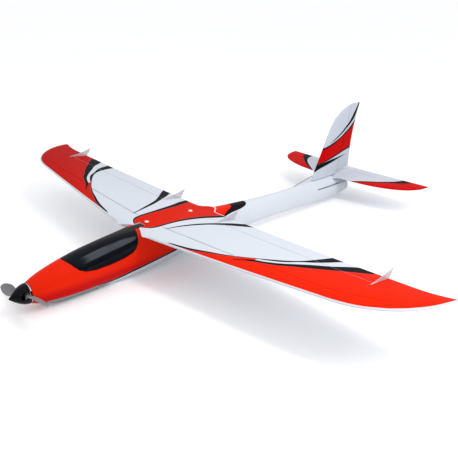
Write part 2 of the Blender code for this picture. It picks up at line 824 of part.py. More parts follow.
def fin():
    """Fixed fin on the boom's deck and the stabiliser."""
    rings = []
    for z in (FIN_BOTTOM, 0.041, 0.070, 0.100, 0.130, 0.155, 0.172, 0.183, 0.190, 0.1935):
        front, back = fin_front(z), rudder_hinge(z) - HINGE_GAP
        places = [front + (back - front) * (1 - cos(pi / 2 * i / 6)) for i in range(7)]
        ring = [spot(fin_half(z, s), s, z) for s in places]
        ring += [spot(-fin_half(z, s), s, z) for s in places[::-1]]
        rings.append(ring)
    return finish(loft("fin", rings), "white_foam")


def rudder():
    """Rudder with a V-shaped front edge on its raked hinge axis."""
    rings = []
    for z in (RUDDER_BOTTOM, 0.070, 0.100, 0.130, 0.155, 0.172, 0.183, 0.190, 0.1935, FIN_TOP):
        front, back = max(rudder_hinge(z), fin_front(z)) + HINGE_GAP, fin_back(z)
        chamfer = fin_half(z, front) * tan(radians(34))
        places = [front + chamfer + (back - front - chamfer) * i / 3 for i in range(4)]
        ring = [spot(0.0001, front, z)]
        ring += [spot(fin_half(z, s), s, z) for s in places]
        ring += [spot(-fin_half(z, s), s, z) for s in places[::-1]]
        ring += [spot(-0.0001, front, z)]
        rings.append(ring)
    body = loft("rudder", rings)
    set_origin(body, spot(0, rudder_hinge(RUDDER_BOTTOM), RUDDER_BOTTOM))
    return finish(body, "white_foam")


def elevator_horn():
    """Horn under the elevator, beside the end of its pushrod."""
    wire_end = ELEVATOR_WIRE[-1]
    x = wire_end[0] + WIRE_R + 0.0004
    top = stab_surface(x, 0.900)[0] - GAP
    corners = ((ELEVATOR_HINGE + 0.003, top), (ELEVATOR_HINGE + 0.013, top + 0.0004),
               (wire_end[1] + 0.002, wire_end[2] - 0.0015),
               (wire_end[1] - 0.003, wire_end[2] - 0.0015))
    return horn("elevator_horn", corners, x, 0.0012, "X")


def rudder_horn():
    """Horn on the rudder's right side, above the end of its pushrod."""
    wire_end = RUDDER_WIRE[-1]
    z = wire_end[2] + WIRE_R + HORN_LIFT
    hinge = rudder_hinge(z)
    root = -fin_half(z, hinge + 0.006) - GAP
    corners = ((root, hinge + 0.0040), (root, hinge + 0.0120),
               (wire_end[0] - 0.002, hinge + 0.0065), (wire_end[0] - 0.002, hinge + 0.0020))
    return horn("rudder_horn", corners, z, 0.0012, "Z")


# ---------------------------------------------------------------- motor and propeller

def propeller_axis():
    """Empty on the thrust axis that carries everything that turns, at its resting tilt."""
    axis = bpy.data.objects.new("propeller_axis", None)
    PARTS.objects.link(axis)
    axis.location = spot(0, 0, 0)
    axis.rotation_euler.y = -BLADE_TILT
    return axis


def carry(obj, axis):
    """Parent a part built about the thrust axis to the empty, so that it takes its tilt."""
    placed = Matrix.Translation(-axis.location) @ obj.matrix_basis
    obj.parent = axis
    obj.matrix_basis = placed
    return obj


def spinner_radius(s):
    """Outer radius of the spinner's ogive."""
    return SPINNER_R * sin(pi / 2 * min(s / SPINNER_END, 1.0)) ** 0.95


def spinner_cone():
    """Hollow spinner with a slot for each blade's root."""
    wall = 0.0012
    steps = 10
    outer = [(0.0, 0.0)]
    outer += [(spinner_radius(s), s) for s in (SPINNER_END * (i / steps) ** 1.6
                                               for i in range(1, steps + 1))]
    inner = [(radius - wall, s) for radius, s in outer[:3:-1]] + [(0.0, 0.0060)]
    cone = turned("spinner_cone", outer + inner)
    for side in (1, -1):
        slot = box("blade_slot", spot(side * 0.0180, 0.0260, 0), (0.0200, 0.0190, 0.0116))
        boolean(cone, slot)
    return finish(cone, "black_gloss")


def spinner_backplate():
    """Disc behind the spinner, notched where the folding blades pass."""
    bore = SHAFT_R + GAP
    rim = SPINNER_R - 0.0002
    profile = ((bore, BACKPLATE_FRONT), (rim, BACKPLATE_FRONT), (rim, BACKPLATE_REAR),
               (bore, BACKPLATE_REAR))
    plate = turned("spinner_backplate", profile)
    for side in (1, -1):
        notch = box("blade_notch", spot(side * 0.0180, 0.0336, 0), (0.0120, 0.0060, 0.0116))
        boolean(plate, notch)
    return finish(plate, "aluminium")


def blade_yoke():
    """Hub bar with a fork at each end for the blades."""
    yoke = box("blade_yoke", spot(0, PIN_S + 0.0007, 0), (0.0324, 0.0084, 0.0076), 0.0008)
    boolean(yoke, rod("shaft_bore", spot(0, 0.018, 0), spot(0, 0.036, 0), SHAFT_R + GAP))
    for side in (1, -1):
        boolean(yoke, box("fork", spot(side * 0.0136, PIN_S, 0), (0.0100, 0.0120, 0.0042)))
        boolean(yoke, rod("pin_bore", spot(side * PIN_X, PIN_S, -0.01),
                          spot(side * PIN_X, PIN_S, 0.01), 0.0014))
    return finish(yoke, "black_plastic")


def blade_pin(side):
    """Pin that a blade folds about."""
    pin = rod(f"blade_pin_{mirror_name(side)}", spot(side * PIN_X, PIN_S, -0.0044),
              spot(side * PIN_X, PIN_S, 0.0044), 0.0013)
    return finish(pin, "steel")


def blade_section(reach, chord, thickness, pitch, lead):
    """Eight points of one blade section at a reach outward from the pin."""
    forward, upward = -sin(pitch), cos(pitch)
    points = []
    for along, across in ((-0.5, 0.0), (-0.32, 0.4), (0.0, 0.5), (0.32, 0.4),
                          (0.5, 0.0), (0.32, -0.4), (0.0, -0.5), (-0.32, -0.4)):
        y = along * chord * forward + across * thickness * upward
        z = along * chord * upward - across * thickness * forward
        points.append(Vector((reach, y - lead, z)))
    return points


def prop_blade(side):
    """Twisted folding blade with a flat root lug on the pin."""
    lug = [Vector((0, y, z)) for y, z in ((1, 0.0), (1, 0.0018), (0, 0.0018), (-1, 0.0018),
                                          (-1, 0.0), (-1, -0.0018), (0, -0.0018), (1, -0.0018))]
    rings = [[Vector((x, point.y * half - lead, point.z)) for point in lug]
             for x, half, lead in ((-0.0028, 0.0020, 0), (-0.0008, 0.0031, 0),
                                   (0.0030, 0.0031, 0), (0.0062, 0.0032, 0.5 * BLADE_LEAD))]
    length = BLADE_R - PIN_X
    for part, chord, thickness, pitch in ((0.15, 0.0072, 0.0034, 60), (0.26, 0.0125, 0.0026, 46),
                                          (0.45, 0.0200, 0.0020, 34), (0.65, 0.0205, 0.0016, 28),
                                          (0.82, 0.0170, 0.0013, 25), (0.94, 0.0105, 0.0010, 23),
                                          (1.00, 0.0035, 0.0008, 22)):
        rings.append(blade_section(part * length, chord, thickness, radians(pitch), BLADE_LEAD))
    flip = Matrix.Identity(4) if side > 0 else Matrix.Rotation(pi, 4, "Y")
    pin = spot(side * PIN_X, PIN_S, 0)
    blade = loft(f"prop_blade_{mirror_name(side)}", rings)
    blade.data.transform(flip)
    blade.location = pin
    hole = rod("blade_hole", pin - Vector((0, 0, 0.004)), pin + Vector((0, 0, 0.004)), 0.0014)
    boolean(blade, hole)
    return finish(blade, "grey_plastic"), hole


def motor_shaft():
    """Motor shaft, from the hub to the bell's rear."""
    shaft = rod("motor_shaft", spot(0, 0.0125, 0), spot(0, 0.0720, 0), SHAFT_R)
    return finish(shaft, "steel")


def motor_bell():
    """Turning cup of the outrunner motor."""
    bore = SHAFT_R + GAP
    profile = ((0.0112, 0.0500), (BELL_R, 0.0500), (BELL_R, 0.0695), (bore, 0.0695),
               (bore, 0.0660), (0.0112, 0.0660))
    return finish(turned("motor_bell", profile), "aluminium")


def motor_stator():
    """Fixed base and core of the motor."""
    bore = SHAFT_R + 0.0001
    profile = ((bore, 0.0438), (0.0125, 0.0438), (0.0125, 0.0490), (0.0100, 0.0490),
               (0.0100, 0.0645), (bore, 0.0645))
    stator = turned("motor_stator", profile)
    for side in (1, -1):
        boolean(stator, rod("thread", spot(0, 0.0420, side * SCREW_PITCH),
                            spot(0, 0.0485, side * SCREW_PITCH), 0.0018))
    return finish(stator, "steel")


def firewall():
    """Plywood disc that carries the motor."""
    disc = rod("firewall", spot(0, FIREWALL_S, 0), spot(0, FIREWALL_S + 0.003, 0), 0.0164, 32)
    boolean(disc, rod("shaft_hole", spot(0, 0.035, 0), spot(0, 0.045, 0), 0.0055))
    for side in (1, -1):
        boolean(disc, rod("screw_hole", spot(0, 0.035, side * SCREW_PITCH),
                          spot(0, 0.045, side * SCREW_PITCH), 0.0018))
    return finish(disc, "plywood")


def motor_screw(side):
    """Screw through the firewall into the motor's base."""
    name = "motor_screw_upper" if side > 0 else "motor_screw_lower"
    head = FIREWALL_S - GAP
    profile = ((0, head - 0.0019), (0.0026, head - 0.0019), (0.0026, head), (0.0015, head),
               (0.0015, 0.0478), (0, 0.0478))
    place = Matrix.Translation(spot(0, 0, side * SCREW_PITCH)) @ Matrix.Rotation(pi / 2, 4, "X")
    return finish(turned(name, profile, 16, place), "steel")


# ---------------------------------------------------------------- inside the fuselage

def plain_parts():
    """Battery, its tray, the speed controller and the receiver."""
    tray = box("battery_tray", spot(0, 0.1740, -0.0218), (0.0312, 0.1000, 0.0016))
    finish(tray, "plywood")
    pack = box("battery", spot(0, 0.1720, -0.0085), (0.0300, 0.0840, 0.0220), 0.0020)
    finish(pack, "battery_wrap")
    controller = box("speed_controller", spot(0, 0.0980, -0.0208), (0.0240, 0.0400, 0.0080), 0.0010)
    finish(controller, "black_plastic")
    receiver = box("receiver", spot(0, 0.2470, -0.0206), (0.0220, 0.0300, 0.0120), 0.0010)
    finish(receiver, "black_plastic")


def battery_strap():
    """Hook-and-loop band round the battery."""
    centre = spot(0, 0.1730, -0.0085)
    band = box("battery_strap", centre, (0.0322, 0.0160, 0.0242))
    boolean(band, box("strap_inside", centre, (0.0306, 0.0200, 0.0226)))
    return finish(band, "strap")


def servo_tray():
    """Plywood tray with a cut-out for each tail servo."""
    thickness = 0.0020
    tray = box("servo_tray", spot(0, 0.3065, SERVO_TRAY_TOP - thickness / 2),
               (0.0426, 0.0420, thickness))
    for side in (1, -1):
        cut = box("servo_cut", spot(side * SERVO_PIVOT_X, SERVO_S, 0.0),
                  (0.0128, 0.0238, 0.0200))
        boolean(tray, cut)
    return finish(tray, "plywood")


def tail_servo(side, name):
    """Servo standing in the tray on its ears, output shaft upward."""
    height = SERVO_TOP - SERVO_BOTTOM
    body = box(name, spot(side * SERVO_PIVOT_X, SERVO_S, (SERVO_TOP + SERVO_BOTTOM) / 2),
               (0.0120, 0.0230, height), 0.0005)
    ears = box("ears", spot(side * SERVO_PIVOT_X, SERVO_S, SERVO_TRAY_TOP + 0.0013),
               (0.0116, 0.0320, 0.0020))
    boss = rod("boss", spot(side * SERVO_PIVOT_X, SERVO_PIVOT_S, SERVO_TOP - 0.002),
               spot(side * SERVO_PIVOT_X, SERVO_PIVOT_S, SERVO_TOP + 0.0028), 0.0050)
    boolean(body, ears, "UNION")
    boolean(body, boss, "UNION")
    return finish(body, "servo_blue")


def tail_servo_arm(side, name):
    """Arm of a tail servo, pointing to the centre line."""
    turn = Matrix.Rotation(pi, 4, "Z") if side > 0 else Matrix.Identity(4)
    pivot = spot(side * SERVO_PIVOT_X, SERVO_PIVOT_S, SERVO_TOP + 0.0040)
    return servo_arm(name, pivot, 0.0016, SERVO_ARM, turn)


def wire_point(route, s):
    """(x, s, z) of a wire's first straight run at a station."""
    (x0, s0, z0), (x1, s1, z1) = route[0], route[1]
    part = (s - s0) / (s1 - s0)
    return x0 + (x1 - x0) * part, s, z0 + (z1 - z0) * part


def pushrod_tube(route, name, end):
    """Plastic sleeve that guides a tail pushrod along the boom."""
    start_point, end_point = spot(*wire_point(route, 0.360)), spot(*wire_point(route, end))
    tube = rod(name, start_point, end_point, 0.0017, 12)
    over = (end_point - start_point).normalized() * 0.002
    boolean(tube, rod("sleeve_bore", start_point - over, end_point + over, 0.0013, 12))
    return finish(tube, "clear_plastic")


def seat_block(name, grow=0.0):
    """Tapered block under the wing, grown all round for its recess in the fuselage."""
    rings = []
    for s, half in ((0.270 - grow, 0.0160 + grow), (0.394 + grow, 0.0110 + grow)):
        top = wing_surface(0, s)[0] - 0.0010
        low, high = top - 0.0060 - grow, top + 4 * grow
        rings.append([spot(-half, s, high), spot(half, s, high),
                      spot(half, s, low), spot(-half, s, low)])
    return loft(name, rings)


def wing_seat():
    """Plate under the wing that its two bolts screw into."""
    seat = seat_block("wing_seat")
    for s in WING_BOLTS:
        boolean(seat, rod("bolt_thread", spot(0, s, 0.03), spot(0, s, 0.05), BOLT_R + GAP))
    return finish(seat, "plywood")


def wing_bolt(s, name):
    """Nylon bolt through the wing into the seat plate."""
    head = max(wing_surface(0, s + along)[1] for along in (-0.0042, 0.0, 0.0042)) + GAP
    length = 0.0200
    profile = ((0, 0), (0.0030, 0), (0.0042, 0.0008), (0.0042, 0.0020), (BOLT_R, 0.0020),
               (BOLT_R, length), (0, length))
    frame = Matrix.Translation(spot(0, s, head + 0.0020))
    return finish(turned(name, profile, 20, frame), "white_foam")


# ---------------------------------------------------------------- openings in the shells

def elevator_slot():
    """Slot in the boom's left side where the elevator's pushrod comes out."""
    half = 0.0017
    rings = []
    for s, reach in ((0.728, 0.0014), (0.7635, 0.0030), (0.7640, 0.0120), (0.889, 0.0120)):
        x, _, z = wire_point(ELEVATOR_WIRE, s)
        rings.append([spot(x - 0.0022, s, z - half), spot(x + reach, s, z - half),
                      spot(x + reach, s, z + half), spot(x - 0.0022, s, z + half)])
    return loft("elevator_slot", rings)


def rudder_exit():
    """Hole in the boom's right shoulder where the rudder's pushrod comes out."""
    start, end = Vector(RUDDER_WIRE[1]), Vector(RUDDER_WIRE[2])
    return rod("rudder_exit", spot(*start), spot(*(end + 0.5 * (end - start))), 0.0026, 12)


def chin_inlet():
    """Cooling inlet under the nose."""
    return rod("chin_inlet", spot(0, 0.0520, -0.0400), spot(0, 0.0560, -0.0170), 0.0048, 16)


def build():
    """Make every part of the model."""
    left, right = fuselage_half(1), fuselage_half(-1)
    saddle, inlet, recess = wing_saddle(), chin_inlet(), seat_block("seat_recess", 0.0005)
    for half in (left, right):
        boolean(half, saddle)
        boolean(half, recess)
        boolean(half, inlet)
    boolean(left, elevator_slot())
    boolean(right, rudder_exit())
    canopy_hatch()
    belly_skid()
    wing()
    wing_seat()
    wing_bolt(WING_BOLTS[0], "wing_bolt_front")
    wing_bolt(WING_BOLTS[1], "wing_bolt_rear")
    stabiliser()
    elevator()
    elevator_horn()
    fin()
    rudder()
    rudder_horn()
    for side in (1, -1):
        wing_spar(side)
        aileron(side)
        aileron_horn(side)
        aileron_servo(side)
        down = Matrix.Rotation(pi / 2, 4, "Y")
        servo_arm(f"aileron_arm_{mirror_name(side)}", aileron_pivot(side), 0.0016,
                  AILERON_ARM, down)
        aileron_pushrod(side)
        fence(side, AILERON_IN - 0.0025, "inner")
        fence(side, AILERON_OUT + 0.0025, "outer")
        motor_screw(side)
    firewall()
    motor_stator()
    plain_parts()
    battery_strap()
    servo_tray()
    tail_servo(1, "elevator_servo")
    tail_servo(-1, "rudder_servo")
    tail_servo_arm(1, "elevator_arm")
    tail_servo_arm(-1, "rudder_arm")
    finish(wire("elevator_pushrod", ELEVATOR_WIRE, WIRE_R), "steel")
    finish(wire("rudder_pushrod", RUDDER_WIRE, WIRE_R), "steel")
    pushrod_tube(ELEVATOR_WIRE, "elevator_pushrod_tube", 0.660)
    pushrod_tube(RUDDER_WIRE, "rudder_pushrod_tube", 0.620)

    axis = propeller_axis()
    for piece in (spinner_cone(), spinner_backplate(), blade_yoke(), motor_shaft(), motor_bell(),
                  blade_pin(1), blade_pin(-1)):
        carry(piece, axis)
    for side in (1, -1):
        for piece in prop_blade(side):
            carry(piece, axis)
    for cutter in CUTTERS.objects:
        if cutter.name.split(".")[0] in ("blade_slot", "blade_notch", "shaft_bore", "fork",
                                         "pin_bore"):
            carry(cutter, axis)


build()
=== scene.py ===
"""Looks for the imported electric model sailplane: smooth skins, livery, studio and camera.

Frame: +X is the left wing, -Y is the nose, +Z is up, in metres. A station ("s") is a distance
aft of the spinner's tip and a height ("z") is measured from the propeller's axis; spot() turns
both into the row frame. Livery curves are in millimetres of span, station and height.
"""

from functools import partial, reduce
from math import acos, asin, cos, pi, radians, sin, tan

import bmesh
import bpy
from mathutils import Matrix, Vector


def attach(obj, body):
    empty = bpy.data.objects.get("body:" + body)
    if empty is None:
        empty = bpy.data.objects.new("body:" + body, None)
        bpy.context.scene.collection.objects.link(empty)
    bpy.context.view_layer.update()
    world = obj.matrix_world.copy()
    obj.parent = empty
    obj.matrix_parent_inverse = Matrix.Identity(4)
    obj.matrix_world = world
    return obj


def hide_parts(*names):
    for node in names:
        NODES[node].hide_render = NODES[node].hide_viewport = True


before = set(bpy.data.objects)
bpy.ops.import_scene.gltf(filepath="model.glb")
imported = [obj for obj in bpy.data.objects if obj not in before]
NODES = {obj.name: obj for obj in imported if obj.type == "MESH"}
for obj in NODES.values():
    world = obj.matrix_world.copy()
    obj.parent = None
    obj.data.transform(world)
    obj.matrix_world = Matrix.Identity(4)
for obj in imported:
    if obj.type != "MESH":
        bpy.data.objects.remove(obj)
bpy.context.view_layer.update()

# ---- the part's dimensions
LENGTH = 0.930
SPAN = 1.100
AXIS_Z = 0.035
GAP = 0.0003
SPINNER_R = 0.0182
SPINNER_END = 0.0325
BACKPLATE_FRONT = 0.0328
BACKPLATE_REAR = 0.0344
BLADE_R = 0.098
BLADE_TILT = radians(14.0)
PIN_X = 0.0130
PIN_S = 0.0275
BLADE_LEAD = 0.0035
BLADE_SLOT = 0.0116
BLADE_SLOT_X = 0.0180
SHAFT_R = 0.0020

FUSELAGE = (
    (0.0352, 0.0187, -0.0183, 0.0183, 2.0),
    (0.048, 0.0250, -0.0233, 0.0218, 2.0),
    (0.062, 0.0298, -0.0279, 0.0244, 2.1),
    (0.088, 0.0372, -0.0325, 0.0272, 2.1),
    (0.128, 0.0455, -0.0336, 0.0292, 2.2),
    (0.168, 0.0513, -0.0342, 0.0300, 2.2),
    (0.205, 0.0548, -0.0350, 0.0300, 2.4),
    (0.240, 0.0563, -0.0346, 0.0296, 3.2),
    (0.268, 0.0572, -0.0336, 0.0290, 4.2),
    (0.340, 0.0488, -0.0275, 0.0262, 4.2),
    (0.400, 0.0462, -0.0232, 0.0238, 3.6),
    (0.446, 0.0432, -0.0212, 0.0220, 2.8),
    (0.500, 0.0393, -0.0203, 0.0203, 2.3),
    (0.600, 0.0325, -0.0190, 0.0178, 2.2),
    (0.700, 0.0298, -0.0222, 0.0161, 2.2),
    (0.745, 0.0306, -0.0250, 0.0154, 2.2),
    (0.812, 0.0308, -0.0275, 0.0144, 2.2),
    (0.850, 0.0308, -0.0250, 0.0130, 2.2),
    (0.885, 0.0308, -0.0180, 0.0110, 2.2),
)
BELLY_EXPONENT = 2.3
WALL = ((0.0352, 0.0026), (0.100, 0.0030), (0.130, 0.0045), (0.440, 0.0045),
        (0.550, 0.0040), (0.850, 0.0040), (0.885, 0.0080))
BOOM_END = 0.885
TAIL_DECK = 0.0238
TAIL_DECK_START = 0.822
TAIL_DECK_SLOPE = 0.318
HATCH_EDGE = (
    (0.100, 0.0398), (0.104, 0.0370), (0.110, 0.0300), (0.118, 0.0220),
    (0.128, 0.0170), (0.147, 0.0140), (0.176, 0.0145), (0.206, 0.0175),
    (0.225, 0.0220), (0.234, 0.0290), (0.239, 0.0390), (0.241, 0.0480),
)
NECK_START = 0.246
NECK_END = 0.268
NECK_HALF_WIDTH = 0.0090
OPENED = (0.1000, 0.102, 0.105, 0.110, 0.118, 0.128, 0.147, 0.176, 0.206, 0.225,
          0.234, 0.239, 0.241, 0.2435, NECK_START, 0.257, NECK_END)
HATCH_WALL = 0.0020
SKID_WALL = 0.0015

WING_LE_ROOT = 0.2385
WING_LE_SWEEP = 0.113
WING_TE_ROOT = 0.4269
WING_TE_SWEEP = -0.0408
TIP_START = 0.430
TIP_LE_RUN = 0.114
TIP_HOOK = 0.0105
TIP_HOOK_START = 0.49
TIP_HOOK_SPAN = 0.06
WING_Z = 0.0513
WING_Z_STATION = 0.256
INCIDENCE = 0.033
DIHEDRAL = 0.028
UPSWEEP = 0.038
WING_THICKNESS = 0.068
WING_CAMBER = 0.014
EDGE_HALF = 0.0004
NOTCH_HALF = 0.0098
NOTCH_CORNER = 0.039
NOTCH_END = 0.052
NOTCH_BEVEL = ((NOTCH_HALF, 0.254), (NOTCH_CORNER, 0.240))
TONGUE_HALF = 0.030
TONGUE_FLAT = 0.002
TONGUE_LENGTH = 0.0195
AILERON_IN = 0.0855
AILERON_OUT = 0.440
AILERON_HINGE_IN = 0.383
AILERON_HINGE_SLOPE = -0.0324
HINGE_GAP = 0.0004
AILERON_BEVEL = radians(26)
ELEVATOR_BEVEL = radians(32)
RUDDER_BEVEL = radians(34)
NOSE_HALF = 0.0001  # of the blunt front edge of the elevator and rudder
FENCE_OFFSET = 0.0025
STAB_HALF_SPAN = 0.206
STAB_Z = 0.0275
STAB_LE = 0.828
STAB_TE = 0.925
STAB_RUN = 0.102
ELEVATOR_HINGE = 0.893
STAB_THICKNESS = 0.062
FIN_BOTTOM = 0.0318
FIN_TOP = 0.1965
RUDDER_BOTTOM = 0.041
RUDDER_HINGE = 0.843
RUDDER_RAKE = 0.27
FIN_THICKNESS = 0.068
FIN_FOOT = 0.040
FIN_LE = 0.751
FIN_LE_FOOT = 0.030
FIN_LE_RAKE = 0.53
FIN_TOP_CURVE = 0.100
FIN_TOP_RUN = 0.047
RUDDER_TE = 0.8925
RUDDER_TE_CURVE = 1.16
ELEVATOR_WIRE = ((0.004, 0.300, 0.018), (0.0125, 0.897, 0.0075))
RUDDER_WIRE = ((-0.004, 0.300, 0.018), (-0.0085, 0.655, 0.016),
               (-0.0125, 0.705, 0.0252), (-0.0125, 0.850, 0.050))
AILERON_SERVO_X = 0.207
AILERON_SERVO_S = 0.331
WING_BOLTS = (0.278, 0.383)
BOLT_R = 0.0020
FENCE_HEIGHT = 0.0175
FENCE_WALL = 0.0012
SPAR_R = 0.0025
SPAR_ENDS = ((0.012, 0.2900, 0.0522), (0.330, 0.2960, 0.0650))

# The pressed line over the spar: (span, station), and its depth and half width
CREASE = ((0.0, 0.2845), (0.060, 0.2855), (0.140, 0.2890), (0.220, 0.2925), (0.300, 0.2990),
          (0.360, 0.3015), (0.400, 0.3045), (0.440, 0.3120), (0.480, 0.3280), (0.520, 0.3500))
CREASE_DEPTH = 0.00045
CREASE_HALF = 0.0009
# Where it fades out, at the root and at the tip
CREASE_IN = 0.040
CREASE_OUT = 0.524
# The cooling hole in the chin: the ends of its axis (station, height)
INLET = ((0.0520, -0.0400), (0.0560, -0.0170))
INLET_R = 0.0048
# The finger grip pressed into each side of the nose
GRIP_FRONT = 0.122
GRIP_BACK = 0.250
GRIP_DEPTH = 0.0011


# ---- shared shape functions

def spot(x, s, z):
    """Row-frame point of a place given by span, station and height above the thrust axis."""
    return Vector((x, s - LENGTH / 2, z + AXIS_Z))


def lerp(table, s):
    """Straight interpolation in a table of (station, value)."""
    if s <= table[0][0]:
        return table[0][1]
    for (s0, v0), (s1, v1) in zip(table, table[1:]):
        if s <= s1:
            return v0 + (v1 - v0) * (s - s0) / (s1 - s0)
    return table[-1][1]


def smooth(table, s, column):
    """Smooth interpolation of one column of a station table."""
    stations = [row[0] for row in table]
    values = [row[column] for row in table]
    s = min(max(s, stations[0]), stations[-1])
    i = max(k for k in range(len(stations) - 1) if stations[k] <= s)

    def slope(k):
        k0, k1 = max(k - 1, 0), min(k + 1, len(stations) - 1)
        return (values[k1] - values[k0]) / (stations[k1] - stations[k0])

    h = stations[i + 1] - stations[i]
    t = (s - stations[i]) / h
    start = values[i] * (2 * t**3 - 3 * t**2 + 1) + slope(i) * h * (t**3 - 2 * t**2 + t)
    end = values[i + 1] * (3 * t**2 - 2 * t**3) + slope(i + 1) * h * (t**3 - t**2)
    return start + end


def ease(t):
    """Smooth step from 0 to 1."""
    t = min(max(t, 0.0), 1.0)
    return t * t * (3 - 2 * t)


def fill(stations, step):
    """The stations with more put between them, so that none are further apart than step."""
    out = [stations[0]]
    for a, b in zip(stations, stations[1:]):
        parts = max(1, int((b - a) / step + 0.999))
        out += [a + (b - a) * k / parts for k in range(1, parts + 1)]
    return out


def even(start, end, parts):
    """Places at equal steps."""
    return [start + (end - start) * i / parts for i in range(parts + 1)]


def eased(start, end, parts):
    """Places that lie closest together at the start."""
    return [start + (end - start) * (1 - cos(pi / 2 * i / parts)) for i in range(parts + 1)]


def mirrored(half):
    """Spans from tip to tip, from those of the left half, which begin at 0."""
    return [-x for x in half[:0:-1]] + half


def deck_height(s):
    """Top of the fuselage, stepped down under the stabiliser."""
    if s > TAIL_DECK_START:
        return TAIL_DECK - TAIL_DECK_SLOPE * max(0.0, s - STAB_LE)
    return smooth(FUSELAGE, s, 1)


def section(s, inset):
    """Centre height, half height, half width and shoulder exponent at a station."""
    top, bottom = deck_height(s), smooth(FUSELAGE, s, 2)
    half = (top - bottom) / 2
    return (top + bottom) / 2, half - inset, smooth(FUSELAGE, s, 3) - inset, smooth(FUSELAGE, s, 4)


def section_point(s, angle, inset=0.0):
    """(x, z) on the section, at an angle measured from its top."""
    centre, half, width, shoulder = section(s, inset)
    power = 2 / (shoulder if angle < pi / 2 else BELLY_EXPONENT)
    lift = cos(angle)
    x = width * max(sin(angle), 0.0) ** power
    z = centre + half * (abs(lift) ** power) * (1 if lift > 0 else -1)
    return x, z


def angle_at_height(s, height, inset=0.0):
    """Angle from the top at which the section reaches a height above its centre."""
    centre, half, _, shoulder = section(s, inset)
    ratio = min(max((height - centre) / half, 0.0), 1.0)
    return acos(ratio ** (shoulder / 2))


def opening_angle(s, inset):
    """Angle from the top to the hatch opening's edge at one of its stations."""
    _, _, width, shoulder = section(s, inset)
    neck = asin((NECK_HALF_WIDTH / width) ** (shoulder / 2))
    last = HATCH_EDGE[-1][0]
    if s <= last:
        return max(angle_at_height(s, lerp(HATCH_EDGE, s), inset), radians(4))
    side = angle_at_height(last, HATCH_EDGE[-1][1], inset)
    blend = min((s - last) / (NECK_START - last), 1.0)
    return side + (neck - side) * blend


OPENING = {inset: [(s, opening_angle(s, inset)) for s in OPENED] for inset in (0.0, HATCH_WALL)}


def hatch_angle(s, inset=0.0):
    """Angle from the top to the hatch opening's edge, straight between the stations."""
    if inset not in OPENING:
        return lerp([(station, opening_angle(station, inset)) for station in OPENED], s)
    return lerp(OPENING[inset], s)


def belly_height(s, x):
    """Height of the fuselage's underside at a distance from its centre line."""
    centre, half, width, _ = section(s, 0.0)
    tilt = asin((abs(x) / width) ** (BELLY_EXPONENT / 2))
    return centre - half * cos(tilt) ** (2 / BELLY_EXPONENT)


def foil(c, thickness, camber):
    """(lower, upper) of a thin cambered section at chord fraction c, in chords."""
    c = min(max(c, 0.0), 1.0)
    half = 5 * thickness * (0.2969 * c**0.5 - 0.1260 * c - 0.3516 * c**2
                            + 0.2843 * c**3 - 0.1036 * c**4)
    middle = 4 * camber * c * (1 - c)
    return middle - half, middle + half


def wing_front(x):
    """Station of the wing's leading edge on the plain outline."""
    x = abs(x)
    line = WING_LE_ROOT + WING_LE_SWEEP * x
    if x > TIP_START:
        reach = min((x - TIP_START) / (SPAN / 2 - TIP_START), 0.9998)
        line += TIP_LE_RUN * (1 - (1 - reach**2) ** 0.5)
    return line


def wing_back(x):
    """Station of the wing's trailing edge on the plain outline."""
    x = abs(x)
    hook = TIP_HOOK * max(0.0, (x - TIP_HOOK_START) / TIP_HOOK_SPAN) ** 2
    return WING_TE_ROOT + WING_TE_SWEEP * x + hook


def wing_surface(x, s):
    """(lower, upper) heights of the wing at a point of its plan."""
    front, back = wing_front(x), wing_back(x)
    chord = back - front
    low, high = foil((s - front) / chord, WING_THICKNESS, WING_CAMBER)
    plane = WING_Z - INCIDENCE * (s - WING_Z_STATION) + DIHEDRAL * abs(x) + UPSWEEP * x * x
    return plane + chord * low - EDGE_HALF, plane + chord * high + EDGE_HALF


def hinge_station(x):
    """Station of the aileron's hinge line."""
    return AILERON_HINGE_IN + AILERON_HINGE_SLOPE * (abs(x) - AILERON_IN)


def wing_cut_front(x, notch=NOTCH_HALF):
    """Front of the wing as built: notched for the canopy's neck, with bevelled corners."""
    x = abs(x)
    if x < notch:
        return NECK_END
    bevel = (*NOTCH_BEVEL, (NOTCH_END, wing_front(NOTCH_END)))
    return lerp(bevel, x) if x < NOTCH_END else wing_front(x)


def wing_cut_back(x):
    """Back of the wing as built: a tongue over the boom, and the aileron bays."""
    x = abs(x)
    if x < TONGUE_HALF:
        rise = (1 + cos(pi * max(0.0, x - TONGUE_FLAT) / (TONGUE_HALF - TONGUE_FLAT))) / 2
        return wing_back(x) + TONGUE_LENGTH * rise
    if AILERON_IN - GAP < x < AILERON_OUT + GAP:
        return hinge_station(x) - HINGE_GAP
    return wing_back(x)


def stab_front(x):
    """Leading edge of the horizontal tail."""
    reach = min(abs(x) / (STAB_HALF_SPAN + 0.0005), 0.9999)
    return STAB_LE + STAB_RUN * (1 - (1 - reach**2.5) ** 0.4)


def stab_back(x):
    """Trailing edge of the horizontal tail."""
    return STAB_TE + (LENGTH - STAB_TE) * (x / STAB_HALF_SPAN) ** 2


def stab_surface(x, s):
    """(lower, upper) heights of the horizontal tail."""
    front, back = stab_front(x), stab_back(x)
    low, high = foil((s - front) / (back - front), STAB_THICKNESS, 0.0)
    chord = back - front
    return STAB_Z + chord * low - EDGE_HALF, STAB_Z + chord * high + EDGE_HALF


def fin_front(z):
    """Leading edge of the fin, swept back in a curve to the tip."""
    climb = max(0.0, (z - FIN_TOP_CURVE) / (FIN_TOP - FIN_TOP_CURVE))
    return FIN_LE + FIN_LE_RAKE * (z - FIN_LE_FOOT) + FIN_TOP_RUN * climb**6


def fin_back(z):
    """Trailing edge of the rudder."""
    return RUDDER_TE + RUDDER_TE_CURVE * max(z - FIN_FOOT, 0.0) ** 2


